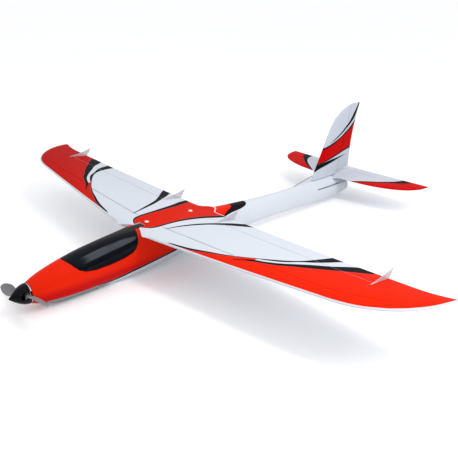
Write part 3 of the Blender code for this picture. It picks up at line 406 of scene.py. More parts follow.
def rudder_hinge(z):
    """Station of the rudder's raked hinge axis."""
    return RUDDER_HINGE + RUDDER_RAKE * (z - FIN_FOOT)


def fin_half(z, s):
    """Half thickness of the fin and rudder."""
    front, back = fin_front(z), fin_back(z)
    chord = back - front
    return chord * foil((s - front) / chord, FIN_THICKNESS, 0.0)[1] + EDGE_HALF


# ---- mesh building

def placed(name, data):
    """An object for a mesh, light or camera, linked to the scene."""
    obj = bpy.data.objects.new(name, data)
    bpy.context.scene.collection.objects.link(obj)
    return obj


def made(name, shape):
    """The object of a finished bmesh."""
    mesh = bpy.data.meshes.new(name)
    shape.to_mesh(mesh)
    shape.free()
    return placed(name, mesh)


def loft(name, rings, inner_from=None):
    """A closed body through rings of equal length, capped at both ends.

    Faces from ring point inner_from on take the second material.
    """
    shape = bmesh.new()
    rows = [[shape.verts.new(point) for point in ring] for ring in rings]
    count = len(rings[0])
    for row, after in zip(rows, rows[1:]):
        for i in range(count):
            j = (i + 1) % count
            face = shape.faces.new((row[i], row[j], after[j], after[i]))
            face.material_index = 1 if inner_from and i >= inner_from else 0
    shape.faces.new(rows[0])
    shape.faces.new(rows[-1])
    bmesh.ops.recalc_face_normals(shape, faces=shape.faces)
    return made(name, shape)


def block(name, centre, size):
    """A plain box, for cutting with."""
    half = Vector(size) / 2
    rings = [[Vector((x, y, z)) + centre for x, y in ((-half.x, -half.y), (half.x, -half.y),
                                                      (half.x, half.y), (-half.x, half.y))]
             for z in (-half.z, half.z)]
    return loft(name, rings)


def circle(turn, radius, depth, sides):
    """Points of a circle about a turned axis, at a depth along it."""
    angles = [2 * pi * i / sides for i in range(sides)]
    return [turn @ Vector((radius * cos(a), radius * sin(a), depth)) for a in angles]


def rod(name, start, end, radius, sides=24):
    """A cylinder between two points, for cutting with."""
    turn = (end - start).to_track_quat("Z", "Y").to_matrix()
    ring = circle(turn, radius, 0, sides)
    return loft(name, [[point + offset for point in ring] for offset in (start, end)])


def lathe(name, profile, origin, axis, steps=72):
    """A turned body from (radius, depth) points along an axis. A closed ring if open inside."""
    turn = Vector(axis).to_track_quat("Z", "Y").to_matrix()
    shape = bmesh.new()
    rows = []
    for radius, depth in profile:
        count = 1 if radius < 1e-6 else steps
        rows.append([shape.verts.new(origin + point)
                     for point in circle(turn, radius, depth, count)])
    ring = len(rows[0]) > 1 and len(rows[-1]) > 1
    for a, b in zip(rows, rows[1:] + rows[:1] if ring else rows[1:]):
        for i in range(steps):
            j = (i + 1) % steps
            if len(a) == 1:
                shape.faces.new((a[0], b[j], b[i]))
            elif len(b) == 1:
                shape.faces.new((a[i], a[j], b[0]))
            else:
                shape.faces.new((a[i], a[j], b[j], b[i]))
    bmesh.ops.recalc_face_normals(shape, faces=shape.faces)
    return made(name, shape)


def carve(obj, *tools):
    """Cut the tools out of an object, and remove them."""
    for tool in tools:
        modifier = obj.modifiers.new("cut", "BOOLEAN")
        modifier.operation = "DIFFERENCE"
        modifier.object = tool
    bpy.context.view_layer.update()
    result = obj.evaluated_get(bpy.context.evaluated_depsgraph_get())
    mesh = bpy.data.meshes.new_from_object(result)
    obj.modifiers.clear()
    obj.data = mesh
    for tool in tools:
        bpy.data.objects.remove(tool)


def dress(obj, body, materials, nodes, angle=38):
    """Shade, paint and file a piece: its body and the CAD nodes it stands for."""
    obj.data.materials.clear()
    for material in materials:
        obj.data.materials.append(material)
    obj.data.shade_smooth()
    obj.data.set_sharp_from_angle(angle=radians(angle))
    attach(obj, body)
    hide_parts(*nodes)


# ---- fuselage

def grip_dent(s, z):
    """How far the finger grip is pressed into the nose's side at a place."""
    front = GRIP_FRONT + 0.9 * max(0.0, -0.002 - z)
    edge = ease((0.0005 - z) / 0.0040) * ease((s - front) / 0.0075)
    return GRIP_DEPTH * edge * ease((GRIP_BACK - s) / 0.060)


def shell_ring(side, s, opened, outer, inner):
    """One half's C-shaped ring: the outer wall down to the belly, then the inner wall up."""
    ring = []
    for inset, count in ((0.0, outer), (lerp(WALL, s), inner)):
        first = hatch_angle(s, inset) if opened else 0.0
        arc = []
        for i in range(count + 1):
            x, z = section_point(s, first + (pi - first) * i / count, inset)
            if inset == 0.0 and 0 < i < count:
                x -= grip_dent(s, z)
            arc.append(spot(side * max(x, GAP / 2), s, z))
        ring += arc if inset == 0.0 else arc[::-1]
    return ring


def loop(surface, x, upper, lower, swell=0.0):
    """Ring around a wing or tail section: its upper side backwards, then its lower side forwards."""
    ring = [spot(x, s, surface(x, s)[1] + swell) for s in upper]
    return ring + [spot(x, s, surface(x, s)[0] - swell) for s in lower[::-1]]


def wing_saddle():
    """Cutter for the wing's seat in the fuselage: the wing grown by a small clearance."""
    notch, clearance = 0.0080, 0.0004
    half = [0.0, 0.005, notch - 0.0001, notch + 0.0001, 0.011, 0.014, 0.018, 0.022, 0.026,
            TONGUE_HALF, NOTCH_CORNER]
    rings = []
    for x in mirrored(half):
        places = eased(wing_cut_front(x, notch) - clearance, wing_cut_back(x) + clearance, 16)
        rings.append(loop(wing_surface, x, places, places, clearance))
    return loft("wing_saddle", rings)


def box_ring(s, left, right, low, high):
    """Rectangular ring across the model at a station."""
    return [spot(left, s, low), spot(right, s, low), spot(right, s, high), spot(left, s, high)]


def seat_recess():
    """Cutter for the recess under the wing that its seat block lies in."""
    grow = 0.0005
    rings = []
    for s, half in ((0.270 - grow, 0.0160 + grow), (0.394 + grow, 0.0110 + grow)):
        top = wing_surface(0, s)[0] - 0.0010
        low, high = top - 0.0060 - grow, top + 4 * grow
        rings.append(box_ring(s, -half, half, high, low))
    return loft("seat_recess", rings)


def elevator_slot():
    """Cutter for the slot in the boom's left side where the elevator's pushrod comes out."""
    (x0, s0, z0), (x1, s1, z1) = ELEVATOR_WIRE
    half = 0.0017
    rings = []
    for s, reach in ((0.728, 0.0014), (0.7635, 0.0030), (0.7640, 0.0120), (0.889, 0.0120)):
        part = (s - s0) / (s1 - s0)
        x, z = x0 + (x1 - x0) * part, z0 + (z1 - z0) * part
        rings.append(box_ring(s, x - 0.0022, x + reach, z - half, z + half))
    return loft("elevator_slot", rings)


def rudder_exit():
    """Cutter for the hole in the boom's right shoulder where the rudder's pushrod comes out."""
    start, end = Vector(RUDDER_WIRE[1]), Vector(RUDDER_WIRE[2])
    return rod("rudder_exit", spot(*start), spot(*(end + 0.5 * (end - start))), 0.0026)


def fuselage_half(side, looks):
    """One moulded half of the fuselage."""
    name = "left" if side > 0 else "right"
    nose = fill((0.0352, 0.040, 0.046, 0.054, 0.064, 0.076, 0.088, 0.0998), 0.003)
    opened = fill(OPENED, 0.003)
    boom = fill((NECK_END + GAP, 0.290, 0.340, 0.400, 0.446, 0.500, 0.560, 0.630, 0.700, 0.745,
                 0.800, TAIL_DECK_START - GAP), 0.008)
    boom += fill((TAIL_DECK_START + GAP, STAB_LE, 0.850, 0.870, BOOM_END), 0.006)
    outer, inner = 56, 14
    rings = [shell_ring(side, s, run is opened, outer, inner)
             for run in (nose, opened, boom) for s in run]
    half = loft(f"fuselage_{name}_skin", rings, inner_from=outer)
    inlet = rod("chin_inlet", *(spot(0, s, z) for s, z in INLET), INLET_R)
    tools = [wing_saddle(), seat_recess(), inlet]
    tools.append(elevator_slot() if side > 0 else rudder_exit())
    carve(half, *tools)
    dress(half, "airframe", looks, [f"fuselage_{name}_shell"], 42)


def canopy(look):
    """The lift-off canopy: an arch over the radio bay, with a neck between the wing halves."""
    stations = fill((OPENED[0] + 0.0010, *OPENED[1:-1], NECK_END - 0.0006), 0.0025)
    rings = []
    for s in stations:
        ring = []
        _, half, _, shoulder = section(s, 0.0)
        outer = hatch_angle(s) - 0.0010 * shoulder / 2 / half
        _, half, _, shoulder = section(s, HATCH_WALL)
        inner = hatch_angle(s, HATCH_WALL) - 0.0026 * shoulder / 2 / half
        for edge, inset, count in ((outer, 0.0, 64), (inner, HATCH_WALL, 24)):
            arc = []
            for i in range(count + 1):
                angle = edge * (2 * i / count - 1)
                x, z = section_point(s, abs(angle), inset)
                arc.append(spot(x if angle > 0 else -x, s, z))
            ring += arc if inset == 0.0 else arc[::-1]
        rings.append(ring)
    dress(loft("canopy_shell", rings), "canopy", [look], ["canopy_hatch"], 50)


def skid(look):
    """Wear strip under the nose, thinner towards its long edges."""
    rings = []
    front = 0.058
    for s in fill((front, 0.064, 0.075, 0.090, 0.110, 0.130, 0.150, 0.158), 0.004):
        half = 0.005 + 0.007 * min((s - front) / 0.03, 1.0)
        offsets = [half * (i / 10 - 1) for i in range(21)]
        upper = [spot(x, s, belly_height(s, x) - GAP) for x in offsets]
        walls = [SKID_WALL * (1 - 0.55 * abs(x / half) ** 6) for x in offsets]
        lower = [spot(x, s, max(belly_height(s, x) - wall, -AXIS_Z))
                 for x, wall in zip(offsets, walls)]
        rings.append(upper + lower[::-1])
    dress(loft("belly_wear_strip", rings), "airframe", [look], ["belly_skid"])


# ---- wing

def wing_skin_ring(x, front, back):
    """One wing section with the pressed line over the spar in its upper side."""
    chord = wing_back(x) - wing_front(x)
    line = min(max(lerp(CREASE, abs(x)), front + 0.12 * chord), back - 0.15 * chord)
    fade = ease((abs(x) - CREASE_IN) / 0.006) * ease((CREASE_OUT - abs(x)) / 0.030)
    ahead, behind = line - CREASE_HALF, line + CREASE_HALF
    places = eased(front, ahead, 12)
    places[-1] = ahead
    places += [line - CREASE_HALF / 2, line, line + CREASE_HALF / 2] + even(behind, back, 16)
    ring = loop(wing_surface, x, places, places)
    for i, dent in ((13, 0.6), (14, 1.0), (15, 0.6)):
        height = wing_surface(x, places[i])[1] - CREASE_DEPTH * fade * dent
        ring[i] = spot(x, places[i], height)
    return ring


def spar_groove(side):
    """Cutter for the groove under the wing that the spar lies in."""
    half = SPAR_R + GAP
    rings = []
    for (x, s, z), extra in zip(SPAR_ENDS, (-0.001, 0.001)):
        corners = ((-half, -0.02), (half, -0.02), (half, half), (-half, half))
        rings.append([spot(side * (x + extra), s + ds, z + dz) for ds, dz in corners])
    return loft("spar_groove", rings)


def servo_pocket(side):
    """Cutter for the pocket of an aileron servo."""
    base = wing_surface(AILERON_SERVO_X, AILERON_SERVO_S)[0]
    depth = 0.0275
    centre = spot(side * (AILERON_SERVO_X + 0.0045), AILERON_SERVO_S, base + 0.0072 - depth / 2)
    return block("servo_pocket", centre, (0.029, 0.029, depth))


def wing(look, bare):
    """One-piece foam wing."""
    root = fill((0.0, 0.005, NOTCH_HALF - 0.0002), 0.005)
    root += fill((NOTCH_HALF + 0.0002, 0.014, 0.018, 0.022, 0.026, TONGUE_HALF), 0.002)
    root += fill((TONGUE_HALF + 0.001, NOTCH_CORNER, 0.045, NOTCH_END, 0.064, 0.075,
                  AILERON_IN - GAP - 0.0001), 0.005)
    bay = fill((AILERON_IN - GAP + 0.0001, 0.160, 0.230, 0.300, 0.370,
                AILERON_OUT + GAP - 0.0001), 0.010)
    tip = fill((AILERON_OUT + GAP + 0.0001, 0.465, 0.490, 0.510, 0.526, 0.538, 0.545), 0.006)
    tip += [0.5475, 0.549, 0.5497, SPAN / 2]
    half = root + bay + tip
    body = loft("wing_skin", [wing_skin_ring(x, wing_cut_front(x), wing_cut_back(x))
                              for x in mirrored(half)])
    tools = [rod("bolt_hole", spot(0, s, 0.03), spot(0, s, 0.07), BOLT_R + GAP)
             for s in WING_BOLTS]
    for side in (1, -1):
        tools += [spar_groove(side), servo_pocket(side)]
    carve(body, *tools)
    dress(body, "airframe", [look, bare], ["wing"], 40)


def aileron(side, look):
    """One aileron, with its lower front edge bevelled to swing down."""
    name = "left" if side > 0 else "right"
    rings = []
    for x in fill((AILERON_IN + GAP, 0.160, 0.230, 0.300, 0.370, AILERON_OUT - GAP), 0.010):
        front, back = hinge_station(x) + HINGE_GAP, wing_back(x)
        low, high = wing_surface(x, front)
        bevel = front + (high - low) * tan(AILERON_BEVEL)
        rings.append(loop(wing_surface, side * x, even(front, back, 8), even(bevel, back, 8)))
    dress(loft(f"aileron_{name}_skin", rings), f"{name}_aileron", [look],
          [f"aileron_{name}"], 30)


def fence(side, x, place, look):
    """Swept plate beside one end of an aileron, tapering in height towards its front."""
    name = f"{'left' if side > 0 else 'right'}_{place}_fence"
    front, back = hinge_station(x) - 0.009, wing_back(x) + 0.001
    overhang, steps, levels = 0.0120, 12, 8
    tip = wing_surface(x, back)[1] + FENCE_HEIGHT
    rings = []
    for i, s in enumerate(even(front, back, steps)):
        part = i / steps
        foot = wing_surface(x, s)[1] + GAP
        top_s = front + (back + overhang - front) * part
        top = max(foot + (tip - foot) * part, foot + 0.0002)
        ring = []
        for level in range(levels + 1):
            part = level / levels
            half = FENCE_WALL / 2 * (1 - 0.55 * part) * (0.35 if level == levels else 1)
            ring.append((half, s + (top_s - s) * part, foot + (top - foot) * part))
        rings.append([spot(side * x + h, a, b) for h, a, b in ring]
                     + [spot(side * x - h, a, b) for h, a, b in ring[::-1]])
    dress(loft(name + "_plate", rings), "airframe", [look], [name], 50)


# ---- tail

def upright_loop(z, places):
    """Ring around a level cut of the fin: its left side backwards, then its right side forwards."""
    ring = [spot(fin_half(z, s), s, z) for s in places]
    return ring + [spot(-fin_half(z, s), s, z) for s in places[::-1]]


def tail_spans(*tip):
    """Places from tip to tip of the horizontal tail, closer together towards the tips."""
    inner = fill((0.0, 0.05, 0.098, 0.135, 0.165), 0.008)
    return mirrored(inner + fill((0.165, 0.185, 0.195, *tip), 0.003)[1:])


def tail_heights(foot, *tip):
    """Places up the upright tail, closer together towards its top."""
    lower = fill((*foot, 0.070, 0.100, 0.130), 0.006)
    return lower + fill((0.130, 0.155, 0.172, 0.183, 0.190, 0.1935, *tip), 0.003)[1:]


def stabiliser(look):
    """Fixed horizontal tail, from the leading edge to the elevator's hinge."""
    rings = []
    for x in tail_spans(0.1985):
        places = eased(stab_front(x), ELEVATOR_HINGE - HINGE_GAP, 16)
        rings.append(loop(stab_surface, x, places, places))
    dress(loft("stabiliser_skin", rings), "airframe", [look], ["stabiliser"], 40)


def elevator(look):
    """One-piece elevator with a V-shaped front edge on its hinge axis."""
    rings = []
    for x in tail_spans(0.201, STAB_HALF_SPAN):
        front, back = max(ELEVATOR_HINGE, stab_front(x)) + HINGE_GAP, stab_back(x)
        low, high = stab_surface(x, front)
        chamfer = min((high - low) / 2 * tan(ELEVATOR_BEVEL), (back - front) / 3)
        places = even(front + chamfer, back, 6)
        rings.append([spot(x, front, STAB_Z + NOSE_HALF), *loop(stab_surface, x, places, places),
                      spot(x, front, STAB_Z - NOSE_HALF)])
    dress(loft("elevator_skin", rings), "elevator_surface", [look], ["elevator"], 30)


def fin(look):
    """Fixed fin on the boom's deck and the stabiliser."""
    rings = [upright_loop(z, eased(fin_front(z), rudder_hinge(z) - HINGE_GAP, 16))
             for z in tail_heights((FIN_BOTTOM, 0.041))]
    dress(loft("fin_skin", rings), "airframe", [look], ["fin"], 40)


def rudder(look):
    """Rudder with a V-shaped front edge on its raked hinge axis."""
    rings = []
    for z in tail_heights((RUDDER_BOTTOM,), FIN_TOP):
        front, back = max(rudder_hinge(z), fin_front(z)) + HINGE_GAP, fin_back(z)
        places = even(front + fin_half(z, front) * tan(RUDDER_BEVEL), back, 6)
        rings.append([spot(NOSE_HALF, front, z), *upright_loop(z, places),
                      spot(-NOSE_HALF, front, z)])
    dress(loft("rudder_skin", rings), "rudder_surface", [look], ["rudder"], 30)


# ---- propeller

PROP_TURN = (Matrix.Translation(spot(0, 0, 0)) @ Matrix.Rotation(-BLADE_TILT, 4, "Y")
             @ Matrix.Translation(-spot(0, 0, 0)))


def blade_cuts(name, s, size):
    """Cutters for the blades' roots, on both sides of the axis."""
    return [block(name, spot(side * BLADE_SLOT_X, s, 0), size) for side in (1, -1)]


def spinner(look):
    """Hollow spinner with a slot for each blade's root."""
    wall, steps = 0.0012, 22

    def radius(s):
        return SPINNER_R * sin(pi / 2 * min(s / SPINNER_END, 1.0)) ** 0.95

    depths = [SPINNER_END * (i / steps) ** 1.6 for i in range(1, steps + 1)]
    outer = [(0.0, 0.0)] + [(radius(s), s) for s in depths]
    inner = [(r - wall, s) for r, s in outer[:9:-1]] + [(0.0, 0.0060)]
    cone = lathe("spinner_shell", outer + inner, spot(0, 0, 0), (0, 1, 0), 96)
    carve(cone, *blade_cuts("blade_slot", 0.0260, (0.0200, 0.0190, BLADE_SLOT)))
    cone.data.transform(PROP_TURN)
    dress(cone, "propeller", [look], ["spinner_cone"], 40)


def backplate(look):
    """Bright disc behind the spinner, with a rounded rim."""
    bore, rim = SHAFT_R + GAP, SPINNER_R - 0.0002
    edge = 0.0004
    profile = ((bore, BACKPLATE_FRONT), (rim - edge, BACKPLATE_FRONT),
               (rim - edge * 0.3, BACKPLATE_FRONT + edge * 0.3), (rim, BACKPLATE_FRONT + edge),
               (rim, BACKPLATE_REAR - edge), (rim - edge * 0.3, BACKPLATE_REAR - edge * 0.3),
               (rim - edge, BACKPLATE_REAR), (bore, BACKPLATE_REAR))
    plate = lathe("spinner_ring", profile, spot(0, 0, 0), (0, 1, 0), 96)
    carve(plate, *blade_cuts("blade_notch", 0.0336, (0.0120, 0.0060, BLADE_SLOT)))
    plate.data.transform(PROP_TURN)
    dress(plate, "propeller", [look], ["spinner_backplate"], 35)


# The blade: (part of its length, chord, thickness, pitch in degrees)
BLADE = ((0.15, 0.0072, 0.0034, 60), (0.26, 0.0125, 0.0026, 46), (0.45, 0.0200, 0.0020, 34),
         (0.65, 0.0205, 0.0016, 28), (0.82, 0.0170, 0.0013, 25), (0.94, 0.0105, 0.0010, 23),
         (1.00, 0.0035, 0.0008, 22))
# The halves of the blade's and its lug's sections: the other halves are the same turned about
BLADE_HALF = ((-0.5, 0.0), (-0.45, 0.22), (-0.32, 0.4), (-0.16, 0.48), (0.0, 0.5), (0.16, 0.48),
              (0.32, 0.4), (0.45, 0.22))
LUG_HALF = ((1, 0.0), (1, 0.0009), (1, 0.0018), (0.5, 0.0018), (0, 0.0018), (-0.5, 0.0018),
            (-1, 0.0018), (-1, 0.0009))
# The lug along the blade: (distance from the pin, half width, shift of its middle)
LUG = ((-0.0028, 0.0020, 0), (-0.0020, 0.0027, 0), (-0.0008, 0.0031, 0), (0.0030, 0.0031, 0),
       (0.0062, 0.0032, 0.5 * BLADE_LEAD))


def turned_about(half):
    """A closed section from one half of it."""
    return [*half, *((-y, -z) for y, z in half)]


def blade(side, look):
    """Twisted folding blade with a flat root lug on the pin."""
    name = "left" if side > 0 else "right"
    rings = [[Vector((x, y * half - lead, z)) for y, z in turned_about(LUG_HALF)]
             for x, half, lead in LUG]
    length = BLADE_R - PIN_X
    for part in fill([row[0] for row in BLADE], 0.035):
        chord, thickness, pitch = (smooth(BLADE, part, column) for column in (1, 2, 3))
        pitch = radians(pitch)
        ring = []
        for along, across in turned_about(BLADE_HALF):
            y = -along * chord * sin(pitch) + across * thickness * cos(pitch)
            z = along * chord * cos(pitch) + across * thickness * sin(pitch)
            ring.append(Vector((part * length, y - BLADE_LEAD, z)))
        rings.append(ring)
    body = loft(f"folding_blade_{name}", rings)
    turn = Matrix.Identity(4) if side > 0 else Matrix.Rotation(pi, 4, "Y")
    pin = spot(side * PIN_X, PIN_S, 0)
    body.data.transform(Matrix.Translation(pin) @ turn)
    carve(body, rod("pin_hole", pin - Vector((0, 0, 0.004)), pin + Vector((0, 0, 0.004)), 0.0014))
    body.data.transform(PROP_TURN)
    dress(body, f"blade_{name}", [look], [f"prop_blade_{name}"], 45)


def bolt(s, name, look):
    """Nylon wing bolt with a domed, slotted head."""
    rim, tall, pitch = 0.0042, 0.0020, 0.0012
    head = max(wing_surface(0, s + along)[1] for along in (-rim, 0.0, rim)) + GAP
    profile = [(0.0, 0.0), (0.0022, 0.00008), (0.0032, 0.00035), (0.0039, 0.0008), (rim, 0.0013),
               (rim, tall), (BOLT_R, tall)]
    for turn in range(14):
        deep = 0.0024 + turn * pitch
        profile += [(BOLT_R, deep), (BOLT_R - 0.0003, deep + 0.0006)]
    profile += [(BOLT_R - 0.0004, 0.0200), (0.0, 0.0200)]
    body = lathe(name + "_turned", profile, spot(0, s, head + tall), (0, 0, -1), 32)
    carve(body, block("slot", spot(0, s, head + 0.0021), (0.0060, 0.0010, 0.0016)))
    dress(body, "airframe", [look], [name], 35)


# ---- node materials

class Look:
    """A node material: small helpers that add and wire nodes."""

    def __init__(self, name):
        self.material = bpy.data.materials.new(name)
        self.material.use_nodes = True
        self.nodes = self.material.node_tree.nodes
        self.links = self.material.node_tree.links
        self.nodes.clear()
        self.shader = self.add("BsdfPrincipled")
        self.add("OutputMaterial", Surface=self.shader.outputs["BSDF"])
        place = self.add("TexCoord")
        self.place = place.outputs["Object"]
        split = self.add("SeparateXYZ", Vector=self.place)
        self.x = split.outputs["X"]
        self.s = self.plus(split.outputs["Y"], LENGTH / 2)
        self.z = self.minus(split.outputs["Z"], AXIS_Z)
        self.ax = self.math("ABSOLUTE", self.x)
        turn = self.add("SeparateXYZ", Vector=place.outputs["Normal"])
        self.up = turn.outputs["Z"]
        self.out = self.math("ABSOLUTE", turn.outputs["X"])

    def wire(self, socket, value):
        """Wire a socket to a value, or set it to a constant."""
        if isinstance(value, bpy.types.NodeSocket):
            self.links.new(value, socket)
        else:
            socket.default_value = value

    def feed(self, node, **values):
        """Wire or set a node's inputs, named with _ for blanks."""
        for name, value in values.items():
            self.wire(node.inputs[name.replace("_", " ")], value)
        return node

    def add(self, kind, **values):
        """A new node with its inputs fed."""
        return self.feed(self.nodes.new("ShaderNode" + kind), **values)

    def math(self, operation, a, b=0.0, clamp=False):
        """One arithmetic step."""
        node = self.add("Math")
        node.operation = operation
        node.use_clamp = clamp
        self.wire(node.inputs[0], a)
        self.wire(node.inputs[1], b)
        return node.outputs[0]

    def plus(self, a, b):
        """Sum of two values."""
        return self.math("ADD", a, b)

    def minus(self, a, b):
        """Difference of two values."""
        return self.math("SUBTRACT", a, b)

    def times(self, a, b):
        """Product of two values."""
        return self.math("MULTIPLY", a, b)

    def above(self, value, limit, soft=0.0003):
        """1 where a value is above a limit, with an edge of a given softness."""
        apart = self.math("DIVIDE", self.math("SUBTRACT", value, limit), 2 * soft)
        return self.math("ADD", apart, 0.5, clamp=True)

    def both(self, *masks):
        """Product of masks."""
        return reduce(self.times, masks)

    def either(self, *masks):
        """Greatest of masks."""
        return reduce(partial(self.math, "MAXIMUM"), masks)

    def without(self, mask):
        """The opposite of a mask."""
        return self.minus(1.0, mask)

    def between(self, value, low, high, soft=0.0003):
        """1 between two limits."""
        return self.both(self.above(value, low, soft), self.above(high, value, soft))

    def band(self, value, along, low, high):
        """1 between two curves, each given by its points."""
        return self.between(value, self.profile(along, low), self.profile(along, high))

    def profile(self, value, points):
        """Smooth curve through (place, height) points given in millimetres."""
        node = self.add("FloatCurve")
        curve = node.mapping.curves[0]
        places = [p / 1000 for p, _ in points]
        heights = [h / 1000 for _, h in points]
        low, high = min(heights), max(heights)
        span, rise = places[-1] - places[0], max(high - low, 1e-6)
        for _ in range(len(points) - 2):
            curve.points.new(0.5, 0.5)
        for point, place, height in zip(curve.points, places, heights):
            point.location = ((place - places[0]) / span, (height - low) / rise)
            point.handle_type = "AUTO_CLAMPED"
        node.mapping.update()
        part = self.math("DIVIDE", self.minus(value, places[0]), span, clamp=True)
        self.feed(node, Value=part)
        return self.plus(self.times(node.outputs[0], rise), low)

    def blend(self, mask, low, high):
        """Colour mix by a mask."""
        node = self.add("Mix")
        node.data_type = "RGBA"
        return self.feed(node, Factor=mask, A=low, B=high).outputs["Result"]

    def noise(self, scale, detail=3.0, stretch=None):
        """Cloudy 0-1 value, with the place scaled per axis if stretch is given."""
        place = self.place
        if stretch:
            place = self.add("Mapping", Scale=stretch, Vector=place).outputs[0]
        return self.add("TexNoise", Scale=scale, Detail=detail, Vector=place).outputs["Fac"]

    def cells(self, scale):
        """Distance inside packed cells."""
        return self.add("TexVoronoi", Scale=scale, Vector=self.place).outputs["Distance"]

    def waves(self, scale, direction, distortion=0.0):
        """Straight or warped bands, 0-1."""
        node = self.add("TexWave", Scale=scale, Distortion=distortion, Vector=self.place)
        node.bands_direction = direction
        return node.outputs["Fac"]

    def range(self, value, low, high):
        """A 0-1 value spread over a range."""
        return self.plus(self.times(value, high - low), low)

    def vary(self, colour, mask, amount):
        """Lighten and darken a colour a little by a 0-1 mask."""
        spread = self.range(mask, 1 - amount, 1 + amount)
        return self.add("HueSaturation", Color=colour, Value=spread).outputs[0]

    def finish(self, colour, sheen, low, high, relief, depth, **others):
        """The material, from its colour, its roughness over a 0-1 mask and its relief in metres."""
        bump = self.add("Bump", Distance=depth, Height=relief).outputs[0]
        self.feed(self.shader, Base_Color=colour, Roughness=self.range(sheen, low, high),
                  Normal=bump, **others)
        return self.material


def rgb(red, green, blue):
    """Linear colour of an sRGB value given as 0-255."""
    channels = []
    for value in (red, green, blue):
        value /= 255
        channels.append(value / 12.92 if value <= 0.04045 else ((value + 0.055) / 1.055) ** 2.4)
    return (*channels, 1.0)


WHITE = rgb(203, 208, 216)
RED = rgb(220, 33, 4)
# Darker red for painted shade on the lower sides of the nose and pod, under the wing
LOWER_SIDE_SHADED_RED = rgb(190, 7, 5)
# Darker red: painted shade for the far (right) wing's red, which the key light reaches less
FAR_WING_SHADED_RED = rgb(176, 8, 4)
# Darker copies of the white and red for the tailplane: painted shade
TAILPLANE_SHADED_RED = rgb(194, 6, 4)
TAILPLANE_SHADED_WHITE = rgb(196, 201, 211)
# Darker copies of the white and red for the upright tail: painted shade, as its sides get less light
# than the wing's top
FIN_SHADED_WHITE = rgb(186, 192, 203)
FIN_SHADED_RED = rgb(184, 4, 4)
INK = rgb(20, 15, 22)
# Grey of the line over the spar: partly the dark joint over the spar, partly painted shade of the
# pressed crease
SPAR_LINE_SHADE_GREY = rgb(96, 90, 98)
BARE = rgb(232, 233, 236)
BELLY = rgb(132, 133, 136)


def foam(look, colour, gloss=0.38, bead=0.00006, shine=1.08):
    """Finish of moulded foam: packed beads, slight dirt, uneven sheen."""
    clouds, grime, beads = look.noise(9.0, 4.0), look.noise(60.0, 5.0), look.cells(330.0)
    for mask, amount in ((clouds, 0.035), (grime, 0.02), (beads, 0.015)):
        colour = look.vary(colour, mask, amount)
    relief = look.plus(look.times(beads, 0.7), look.times(grime, 0.3))
    return look.finish(colour, look.either(grime, clouds), gloss - 0.08, gloss + 0.10, relief, bead,
                       Specular_IOR_Level=0.5, IOR=shine)


def bare_foam():
    """White foam where the paint ends: inside the shells and in pockets."""
    return foam(Look("bare_foam"), BARE, gloss=0.65, bead=0.00015)


LEADING_EDGE = ((0, 241), (100, 252.3), (200, 263.6), (300, 274.9), (400, 286.2), (430, 289.6),
                (460, 297), (490, 313), (510, 330), (526, 350), (538, 371), (545, 391),
                (549, 408), (550, 415))
UPPER_A = ((92, 249.5), (100, 251), (120, 254.5), (140, 258), (160, 262.5), (180, 270),
           (200, 277.5), (220, 286), (240, 297), (262, 309.5), (270, 313), (280, 318), (300, 331),
           (320, 354), (330, 364), (340, 377), (350, 395), (357, 412))
LOWER_A = ((92, 249.5), (100, 253.5), (120, 258), (140, 262), (160, 267.5), (180, 274.5),
           (200, 281), (220, 289), (240, 299), (260, 311), (280, 324), (300, 339.5), (310, 350),
           (318, 362), (324, 376), (329, 392), (334, 412))
UPPER_B = ((232, 281), (240, 285), (250, 291), (260, 296), (280, 304), (300, 313), (320, 326.5),
           (340, 339.5), (360, 354), (380, 370), (400, 386.5), (410, 395), (420, 404))
LOWER_B = ((232, 283), (240, 288), (255, 300), (262, 304), (280, 311), (300, 323), (320, 340),
           (340, 358.5), (360, 376), (380, 402), (388, 412))
MIDDLE_RED = ((256, 6), (262, 18), (270, 26), (280, 29.5), (300, 31), (320, 31.5), (340, 33),
              (360, 35.5), (380, 39), (400, 45), (420, 51), (446, 59))
MIDDLE_BLACK = ((256, 9), (262, 22), (270, 31), (280, 35), (300, 36.5), (320, 38), (340, 41),
                (360, 45), (380, 50.5), (400, 58), (420, 63), (446, 70))
ROOT_INNER = ((283, 51), (300, 55), (320, 61), (340, 68), (360, 77.5), (380, 89), (400, 101),
              (420, 116))
ROOT_OUTER = ((283, 53), (300, 59), (320, 67), (340, 76), (360, 87), (380, 103), (400, 122),
              (420, 140))


# Spans at which the inner red ends, the outer black and red begin, and the plain red tip begins
BAND_A_OUT, BAND_B, TIP_BAND = 0.262, 0.232, 0.4195
# On the right half the bands lie closer to the root by this part of their span
FAR_SPREAD = 0.025


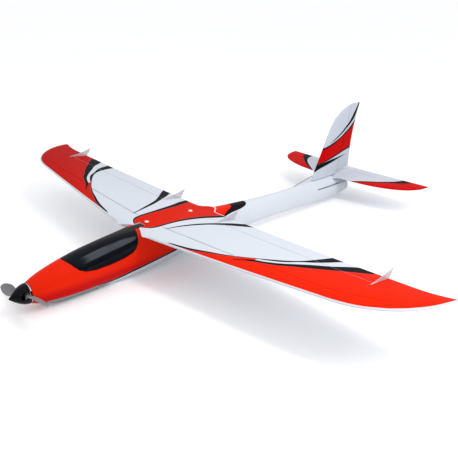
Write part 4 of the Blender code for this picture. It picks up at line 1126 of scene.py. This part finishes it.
def wing_paint(name):
    """Red and black flashes on the upper side of the white wing, with painted shade darkening the
    red towards the far right wing.
    """
    look = Look(name)
    far = look.math("LESS_THAN", look.x, 0.0)
    ax = look.times(look.ax, look.plus(look.times(far, FAR_SPREAD), 1.0))
    s = look.s
    front = look.profile(look.ax, LEADING_EDGE)
    painted = look.both(look.above(look.up, 0.45, 0.05),
                        look.above(s, front, 0.0004))
    upper_a, lower_a = look.profile(ax, UPPER_A), look.profile(ax, LOWER_A)
    upper_b, lower_b = look.profile(ax, UPPER_B), look.profile(ax, LOWER_B)
    outer = look.above(ax, BAND_B, 0.0002)
    tip = look.above(ax, TIP_BAND, 0.0002)
    red_b = look.both(outer, look.either(look.above(upper_b, s), tip))
    red_a = look.both(look.above(ax, 0.0925), look.above(BAND_A_OUT, ax, 0.0002),
                      look.above(upper_a, s))
    ink_b = look.both(outer, look.without(tip), look.between(s, upper_b, lower_b))
    ink_a = look.both(look.between(ax, 0.092, 0.357), look.between(s, upper_a, lower_a))
    gap = look.both(look.above(ax, BAND_A_OUT, 0.0002), look.between(s, lower_b, upper_a))
    middle = look.profile(s, MIDDLE_RED)
    rim = look.profile(s, MIDDLE_BLACK)
    after = look.above(s, 0.2565)
    tongue = look.profile(look.ax, ((0, 444.2), (10, 438.8), (20, 427.8), (30, 423.5), (70, 421.8)))
    within = look.above(tongue, s, 0.0004)
    red_middle = look.both(after, look.above(middle, look.ax), within)
    ink_middle = look.both(after, look.between(look.ax, middle, rim), within)
    root = look.both(look.band(look.ax, s, ROOT_INNER, ROOT_OUTER), look.between(s, 0.283, 0.4235))
    red = look.either(look.both(look.either(red_a, red_b), look.without(gap)), red_middle)
    ink = look.either(ink_a, ink_b, ink_middle, root)
    # A thin grey line painted along the pressed spar line where it is not red: partly the joint's
    # own dark, partly painted shade of the crease
    spar = look.profile(look.ax, [(x * 1000, 1000 * y) for x, y in CREASE])
    line = look.both(look.between(look.ax, CREASE_IN, 0.222),
                     look.between(s, look.minus(spar, 0.0006), look.plus(spar, 0.0006), 0.0002))
    # Painted shade: the red blends to the darker red from the middle of the left wing across to the
    # right wing's tip
    shade = look.math("MULTIPLY", look.minus(0.25, look.x), 1.4, clamp=True)
    colour = look.blend(look.both(painted, red), WHITE, look.blend(shade, RED, FAR_WING_SHADED_RED))
    colour = look.blend(look.both(painted, ink), colour, INK)
    colour = look.blend(look.both(painted, line, look.without(red)), colour, SPAR_LINE_SHADE_GREY)
    return foam(look, colour)


WEDGE_LOW = ((762, 50.5), (770, 54.5), (780, 57.5), (800, 61), (820, 64.5), (840, 68), (850, 70),
             (860, 71.3), (882, 74.2))
WEDGE_HIGH = ((762, 66), (790, 69.5), (800, 70.5), (820, 72), (840, 72.8), (860, 73.8), (882, 74.4))
FLASH_INK_LOW = ((762, 66), (790, 69.5), (800, 71), (820, 74.5), (840, 78.5), (860, 82.5),
                 (880, 86), (897, 88), (905, 89))
FLASH_LOW = ((765, 68), (780, 70.5), (800, 74), (820, 78), (840, 82), (860, 86), (880, 90),
             (897, 93), (905, 94.5))
FLASH_HIGH = ((788, 100.5), (800, 102), (820, 107), (840, 114.5), (860, 122.5), (880, 132),
              (900, 144), (908, 151))
FLASH_INK_HIGH = ((788, 104), (810, 109), (830, 115), (850, 122), (870, 131.5), (890, 143),
                  (900, 150.5), (910, 160))
SWEEP_LOW = ((812, 112.5), (820, 115.2), (830, 118.5), (840, 122.7), (850, 127), (860, 132),
             (870, 138), (880, 144), (890, 150.5), (900, 158.5), (905, 164), (910, 172),
             (915, 182), (919, 190), (922, 197))
SWEEP_HIGH = ((812, 113), (820, 117), (830, 121.5), (840, 126.5), (850, 131.5), (860, 138),
              (870, 144.5), (880, 151.5), (890, 161), (900, 174), (905, 180), (910, 187),
              (914, 193), (917, 198))


def fin_paint(name):
    """White tail with a red flash between black sweeps, its white and red painted darker as shade.
    """
    look = Look(name)
    s, z = look.s, look.z
    wedge = look.band(z, s, WEDGE_LOW, WEDGE_HIGH)
    red = look.both(look.band(z, s, FLASH_LOW, FLASH_HIGH), look.above(s, 0.760))
    rim = look.band(z, s, FLASH_INK_LOW, FLASH_INK_HIGH)
    sweep = look.both(look.band(z, s, SWEEP_LOW, SWEEP_HIGH), look.above(s, 0.812))
    ink = look.either(look.both(wedge, look.above(0.882, s)), rim, sweep)
    return foam(look, look.blend(red, look.blend(ink, FIN_SHADED_WHITE, INK), FIN_SHADED_RED))


STAB_INNER = ((58, 826), (60, 829), (70, 836), (80, 843.5), (100, 859), (110, 868), (120, 879.5),
              (130, 892.5), (137, 908), (142, 928))
STAB_OUTER = ((62, 828), (80, 838.5), (100, 851.5), (120, 867.5), (140, 887), (150, 897),
              (160, 909), (166, 928))


def stab_paint(name):
    """White tailplane with red tips behind a black sweep, its white and red painted darker as shade.
    """
    look = Look(name)
    inner, outer = look.profile(look.ax, STAB_INNER), look.profile(look.ax, STAB_OUTER)
    top = look.above(look.up, -0.25, 0.15)
    near = look.above(look.ax, 0.058, 0.0003)
    red, ink = (look.both(top, near, look.either(look.above(edge, look.s),
                                                 look.above(look.ax, tip)))
                for edge, tip in ((outer, 0.166), (inner, 0.142)))
    return foam(look, look.blend(red, look.blend(ink, TAILPLANE_SHADED_WHITE, INK), TAILPLANE_SHADED_RED))


STRIPE_TOP = ((150, -19.5), (170, -19.3), (180, -19.5), (200, -17.5), (220, -14), (240, -11.2),
              (260, -9), (280, -7), (300, -5), (320, -2.5), (340, 2), (360, 9), (385, 25), (400, 40))
STRIPE_LOW = ((150, -20.5), (170, -22.4), (180, -23), (200, -22), (220, -18.6), (240, -16),
              (260, -13.5), (280, -11.3), (300, -9.2), (320, -7), (340, -2.5), (360, 4.5), (385, 20),
              (400, 36))
NOSE_LIMIT = ((50, -40), (57, -30), (58, -17.5), (100, -19), (130, -20), (150, -20), (152, -20))
BAND_RED = ((440, 28.5), (457, 30.5), (462, 33), (470, 35.7), (480, 37.5), (486, 39.1), (488, 40.5))
BAND_INK = ((440, 25), (458, 27), (470, 28.6), (482, 29.6), (502, 29.9), (520, 31.9), (527, 34),
            (531, 37.5))


POD_END = 0.3995


def fuselage_paint(name):
    """Red nose, grey belly, black pinstripe, and a white boom with a red and black end flash; the
    red is painted darker low on the sides as shade.
    """
    look = Look(name)
    s, z = look.s, look.z
    ahead, behind = look.above(0.1535, s, 0.0005), look.above(s, 0.1505, 0.0005)
    limit = look.profile(s, NOSE_LIMIT)
    top, low = look.profile(s, STRIPE_TOP), look.profile(s, STRIPE_LOW)
    body = look.above(POD_END, s, 0.0005)
    red = look.either(look.both(ahead, look.above(z, limit)),
                      look.both(behind, body, look.above(z, top)))
    ink = look.both(behind, body, look.between(z, low, top))
    hump, trim = (look.both(look.above(s, POD_END, 0.0005), look.above(end, s, 0.0004),
                            look.above(z, look.profile(s, edge)))
                  for end, edge in ((0.488, BAND_RED), (0.531, BAND_INK)))
    grey = look.blend(look.between(s, 0.050, 0.178, 0.008), WHITE, BELLY)
    colour = look.blend(look.above(-0.004, z, 0.006), WHITE, grey)
    for mask in (ink, trim):
        colour = look.blend(mask, colour, INK)
    # Painted shade: the red darkens downwards, from 5 mm above to 9 mm below the thrust axis
    under = look.math("DIVIDE", look.minus(0.005, z), 0.014, clamp=True)
    colour = look.blend(look.either(red, hump), colour, look.blend(under, RED, LOWER_SIDE_SHADED_RED))
    return foam(look, colour, gloss=0.30, shine=1.14)


# ---- other materials

def dark_gloss(name, deep, dusty):
    """Deep gloss with fine dust."""
    look = Look(name)
    colour = look.blend(look.times(look.noise(180.0, 6.0), 0.3), deep, dusty)
    return look.finish(colour, look.noise(14.0), 0.09, 0.15, look.noise(90.0, 2.0), 0.00003,
                       Specular_IOR_Level=0.38, IOR=1.25, Specular_Tint=(0.78, 0.88, 1.0, 1.0))


def moulded(name, light, dark, rough, grain=240.0, depth=0.00004, metallic=0.0):
    """A moulded or worked surface with grain, mottling and uneven sheen."""
    look = Look(name)
    fine = look.noise(grain, 5.0)
    colour = look.vary(look.blend(look.noise(35.0, 4.0), dark, light), fine, 0.06)
    return look.finish(colour, fine, rough - 0.07, rough + 0.09, fine, depth,
                       Metallic=metallic, Specular_IOR_Level=0.25)


def spun_metal(name, light, dark, rough):
    """Turned metal with fine concentric marks about the motor's axis."""
    look = Look(name)
    marks = look.noise(140.0, 5.0, (1.0, 9.0, 1.0))
    relief = look.plus(look.times(look.waves(900.0, "Y", 1.5), 0.4), marks)
    return look.finish(look.blend(marks, dark, light), marks, rough - 0.06, rough + 0.12,
                       relief, 0.00002, Metallic=0.9)


def blade_plastic():
    """Grey flexible plastic with flow lines along the blade."""
    look = Look("blade_plastic")
    flow, fine = look.noise(70.0, 4.0, (0.6, 4.0, 4.0)), look.noise(420.0, 4.0)
    colour = look.vary(look.blend(flow, rgb(88, 88, 92), rgb(110, 109, 112)), fine, 0.05)
    return look.finish(colour, fine, 0.34, 0.48, look.plus(flow, look.times(fine, 0.4)), 0.00004,
                       Specular_IOR_Level=0.4)


def frosted():
    """Thin milky clear plastic for the fences, brighter along its edges."""
    look = Look("frosted_sheet")
    haze, scuff = look.noise(90.0, 5.0), look.noise(300.0, 5.0, (1.0, 5.0, 1.0))
    face = look.above(look.out, 0.80, 0.08)
    colour = look.blend(haze, rgb(196, 190, 198), rgb(218, 215, 222))
    colour = look.blend(face, rgb(244, 244, 247), colour)
    opaque = look.without(look.times(face, look.range(haze, 0.14, 0.30)))
    return look.finish(colour, scuff, 0.26, 0.44, scuff, 0.00003,
                       Transmission_Weight=0.25, IOR=1.2, Alpha=opaque)


def plywood():
    """Birch ply: long grain, darker flecks and plies on the edges."""
    look = Look("plywood")
    grain, fleck = look.noise(38.0, 6.0, (5.0, 0.6, 5.0)), look.noise(260.0, 4.0, (1.0, 0.3, 1.0))
    edge = look.both(look.above(0.5, look.math("ABSOLUTE", look.up), 0.1),
                     look.waves(620.0, "Z", 1.0))
    colour = look.blend(grain, rgb(178, 140, 92), rgb(217, 184, 138))
    colour = look.blend(look.times(edge, 0.5), colour, rgb(122, 84, 48))
    return look.finish(look.vary(colour, fleck, 0.10), fleck, 0.55, 0.78, grain, 0.00008)


def carbon():
    """Pulled carbon tube: near black with long bright fibres."""
    look = Look("carbon_tube")
    fibre = look.noise(520.0, 5.0, (0.03, 1.0, 1.0))
    return look.finish(look.blend(fibre, rgb(14, 14, 16), rgb(52, 53, 56)), fibre, 0.26, 0.44,
                       fibre, 0.00003, Coat_Weight=0.3)


def woven(name, light, dark, scale=900.0):
    """Woven or shrunk sleeve: crossing bands with a matt surface."""
    look = Look(name)
    weave = look.times(look.waves(scale, "X"), look.waves(scale, "Y"))
    soft = look.noise(120.0, 4.0)
    colour = look.blend(look.times(look.plus(weave, soft), 0.5), dark, light)
    return look.finish(colour, soft, 0.55, 0.8, weave, 0.00012)


def shaded_inside():
    """Lining of the chin inlet and the shells' inside: near black at the nose as painted shade, so
    the inlet reads as a dark hole, blended into bare foam further back.
    """
    look = Look("inner_foam")
    beads = look.cells(330.0)
    near = look.between(look.s, 0.036, 0.070, 0.004)
    # Painted shade: near black from 36 to 70 mm aft of the spinner's tip
    colour = look.vary(look.blend(near, BARE, rgb(16, 14, 15)), beads, 0.05)
    return look.finish(colour, look.noise(60.0), 0.6, 0.8, beads, 0.00015)


def paint_hidden_pieces():
    """Give the CAD pieces inside and underneath their own materials, by slot."""
    looks = {
        "alloy": spun_metal("alloy_bell", rgb(196, 198, 202), rgb(150, 152, 158), 0.28),
        "steel": moulded("steel_wire", rgb(168, 170, 174), rgb(120, 122, 128), 0.28, 500.0,
                         0.00002, 0.95),
        "black_plastic": moulded("black_nylon", rgb(38, 38, 41), rgb(20, 20, 23), 0.48, 320.0),
        "servo_case": moulded("servo_shell", rgb(34, 66, 138), rgb(20, 42, 100), 0.36, 260.0),
        "plywood": plywood(),
        "battery_wrap": woven("battery_film", rgb(34, 72, 150), rgb(16, 38, 92), 260.0),
        "strap": woven("hook_strap", rgb(52, 52, 56), rgb(16, 16, 19)),
        "sleeve": moulded("rod_sleeve", rgb(218, 216, 205), rgb(184, 180, 165), 0.42, 200.0),
        "carbon": carbon(),
    }
    for node in NODES.values():
        for holder in node.material_slots:
            slot = holder.material.name.split(".")[0] if holder.material else ""
            if slot in looks:
                holder.material = looks[slot]


# ---- the model

def build():
    """Every visible piece, smooth and painted."""
    bare, inside = bare_foam(), shaded_inside()
    body_paint = fuselage_paint("fuselage_paint")
    for side in (1, -1):
        fuselage_half(side, [body_paint, inside])
    canopy(dark_gloss("canopy_gloss", rgb(2, 4, 9), rgb(13, 15, 22)))
    skid(moulded("belly_strip", rgb(140, 138, 140), rgb(112, 111, 115), 0.55, 260.0, 0.00006))
    flashes = wing_paint("wing_paint")
    wing(flashes, bare)
    clear = frosted()
    for side in (1, -1):
        aileron(side, flashes)
        fence(side, AILERON_IN - FENCE_OFFSET, "inner", clear)
        fence(side, AILERON_OUT + FENCE_OFFSET, "outer", clear)
    tail = stab_paint("tailplane_paint")
    stabiliser(tail)
    elevator(tail)
    upright = fin_paint("fin_paint")
    fin(upright)
    rudder(upright)
    spinner(dark_gloss("spinner_gloss", rgb(3, 4, 6), rgb(14, 15, 18)))
    backplate(spun_metal("alloy_plate", rgb(214, 216, 220), rgb(172, 174, 180), 0.24))
    plastic = blade_plastic()
    for side in (1, -1):
        blade(side, plastic)
    nylon = moulded("nylon_bolt", rgb(232, 231, 226), rgb(206, 204, 198), 0.40, 300.0)
    for s, place in zip(WING_BOLTS, ("front", "rear")):
        bolt(s, f"wing_bolt_{place}", nylon)
    paint_hidden_pieces()


# ---- studio

SKY_EDGE, SKY_TOP = 0.43, 1.26
FLOOR_SIZE, FLOOR_GLOW = 40.0, 0.10
KEY_PLACE, KEY_TARGET = (0.84, 0.08, 0.98), (0.10, -0.05, 0.04)
KEY_WIDTH, KEY_LENGTH, KEY_POWER = 0.22, 1.05, 6.6
CAMERA_PLACE, CAMERA_LENS = (0.8713, -0.7745, 0.5279), 47.16
CAMERA_TURN, CAMERA_RISE = radians(47.560), radians(23.323)


def key_light():
    """A soft rectangular light aimed at the model, its long side kept level along it."""
    light = bpy.data.lights.new("key", "AREA")
    light.shape = "RECTANGLE"
    light.size, light.size_y = KEY_WIDTH, KEY_LENGTH
    light.energy = KEY_POWER
    obj = placed("key", light)
    obj.location = KEY_PLACE
    aim = Vector(KEY_TARGET) - Vector(KEY_PLACE)
    obj.rotation_euler = aim.to_track_quat("-Z", "Y").to_euler()


def floor():
    """A wide white floor that glows faintly."""
    shape = bmesh.new()
    bmesh.ops.create_grid(shape, x_segments=2, y_segments=2, size=FLOOR_SIZE)
    obj = made("floor", shape)
    look = Look("floor_white")
    colour = look.blend(look.noise(0.8, 2.0), rgb(245, 245, 246), rgb(247, 247, 248))
    look.feed(look.shader, Base_Color=colour, Roughness=0.9, Specular_IOR_Level=0.05,
              Emission_Color=(1.0, 1.0, 1.0, 1.0), Emission_Strength=FLOOR_GLOW)
    obj.data.materials.append(look.material)


def sky():
    """Even white surroundings, brighter overhead than at the horizon."""
    world = bpy.data.worlds.new("studio")
    world.use_nodes = True
    nodes, links = world.node_tree.nodes, world.node_tree.links
    split = nodes.new("ShaderNodeSeparateXYZ")
    links.new(nodes.new("ShaderNodeTexCoord").outputs["Generated"], split.inputs[0])
    climb = nodes.new("ShaderNodeMapRange")
    links.new(split.outputs["Z"], climb.inputs["Value"])
    climb.inputs["To Min"].default_value = SKY_EDGE
    climb.inputs["To Max"].default_value = SKY_TOP
    background = nodes["Background"]
    background.inputs["Color"].default_value = (0.985, 0.99, 1.0, 1.0)
    links.new(climb.outputs[0], background.inputs["Strength"])
    return world


def studio():
    """White floor and surroundings, and a key light over the near side."""
    floor()
    scene = bpy.context.scene
    scene.world = sky()
    scene.view_settings.view_transform = "Standard"
    scene.view_settings.look = "None"
    key_light()


def camera():
    """Three-quarter view from above the model's left front."""
    lens = bpy.data.cameras.new("camera")
    lens.lens = CAMERA_LENS
    lens.sensor_width = 36.0
    lens.clip_end = 200.0
    obj = placed("camera", lens)
    back = Vector((sin(CAMERA_TURN) * cos(CAMERA_RISE), -cos(CAMERA_TURN) * cos(CAMERA_RISE),
                   sin(CAMERA_RISE)))
    obj.location = CAMERA_PLACE
    obj.rotation_euler = back.to_track_quat("Z", "Y").to_euler()
    bpy.context.scene.camera = obj


build()
studio()
camera()
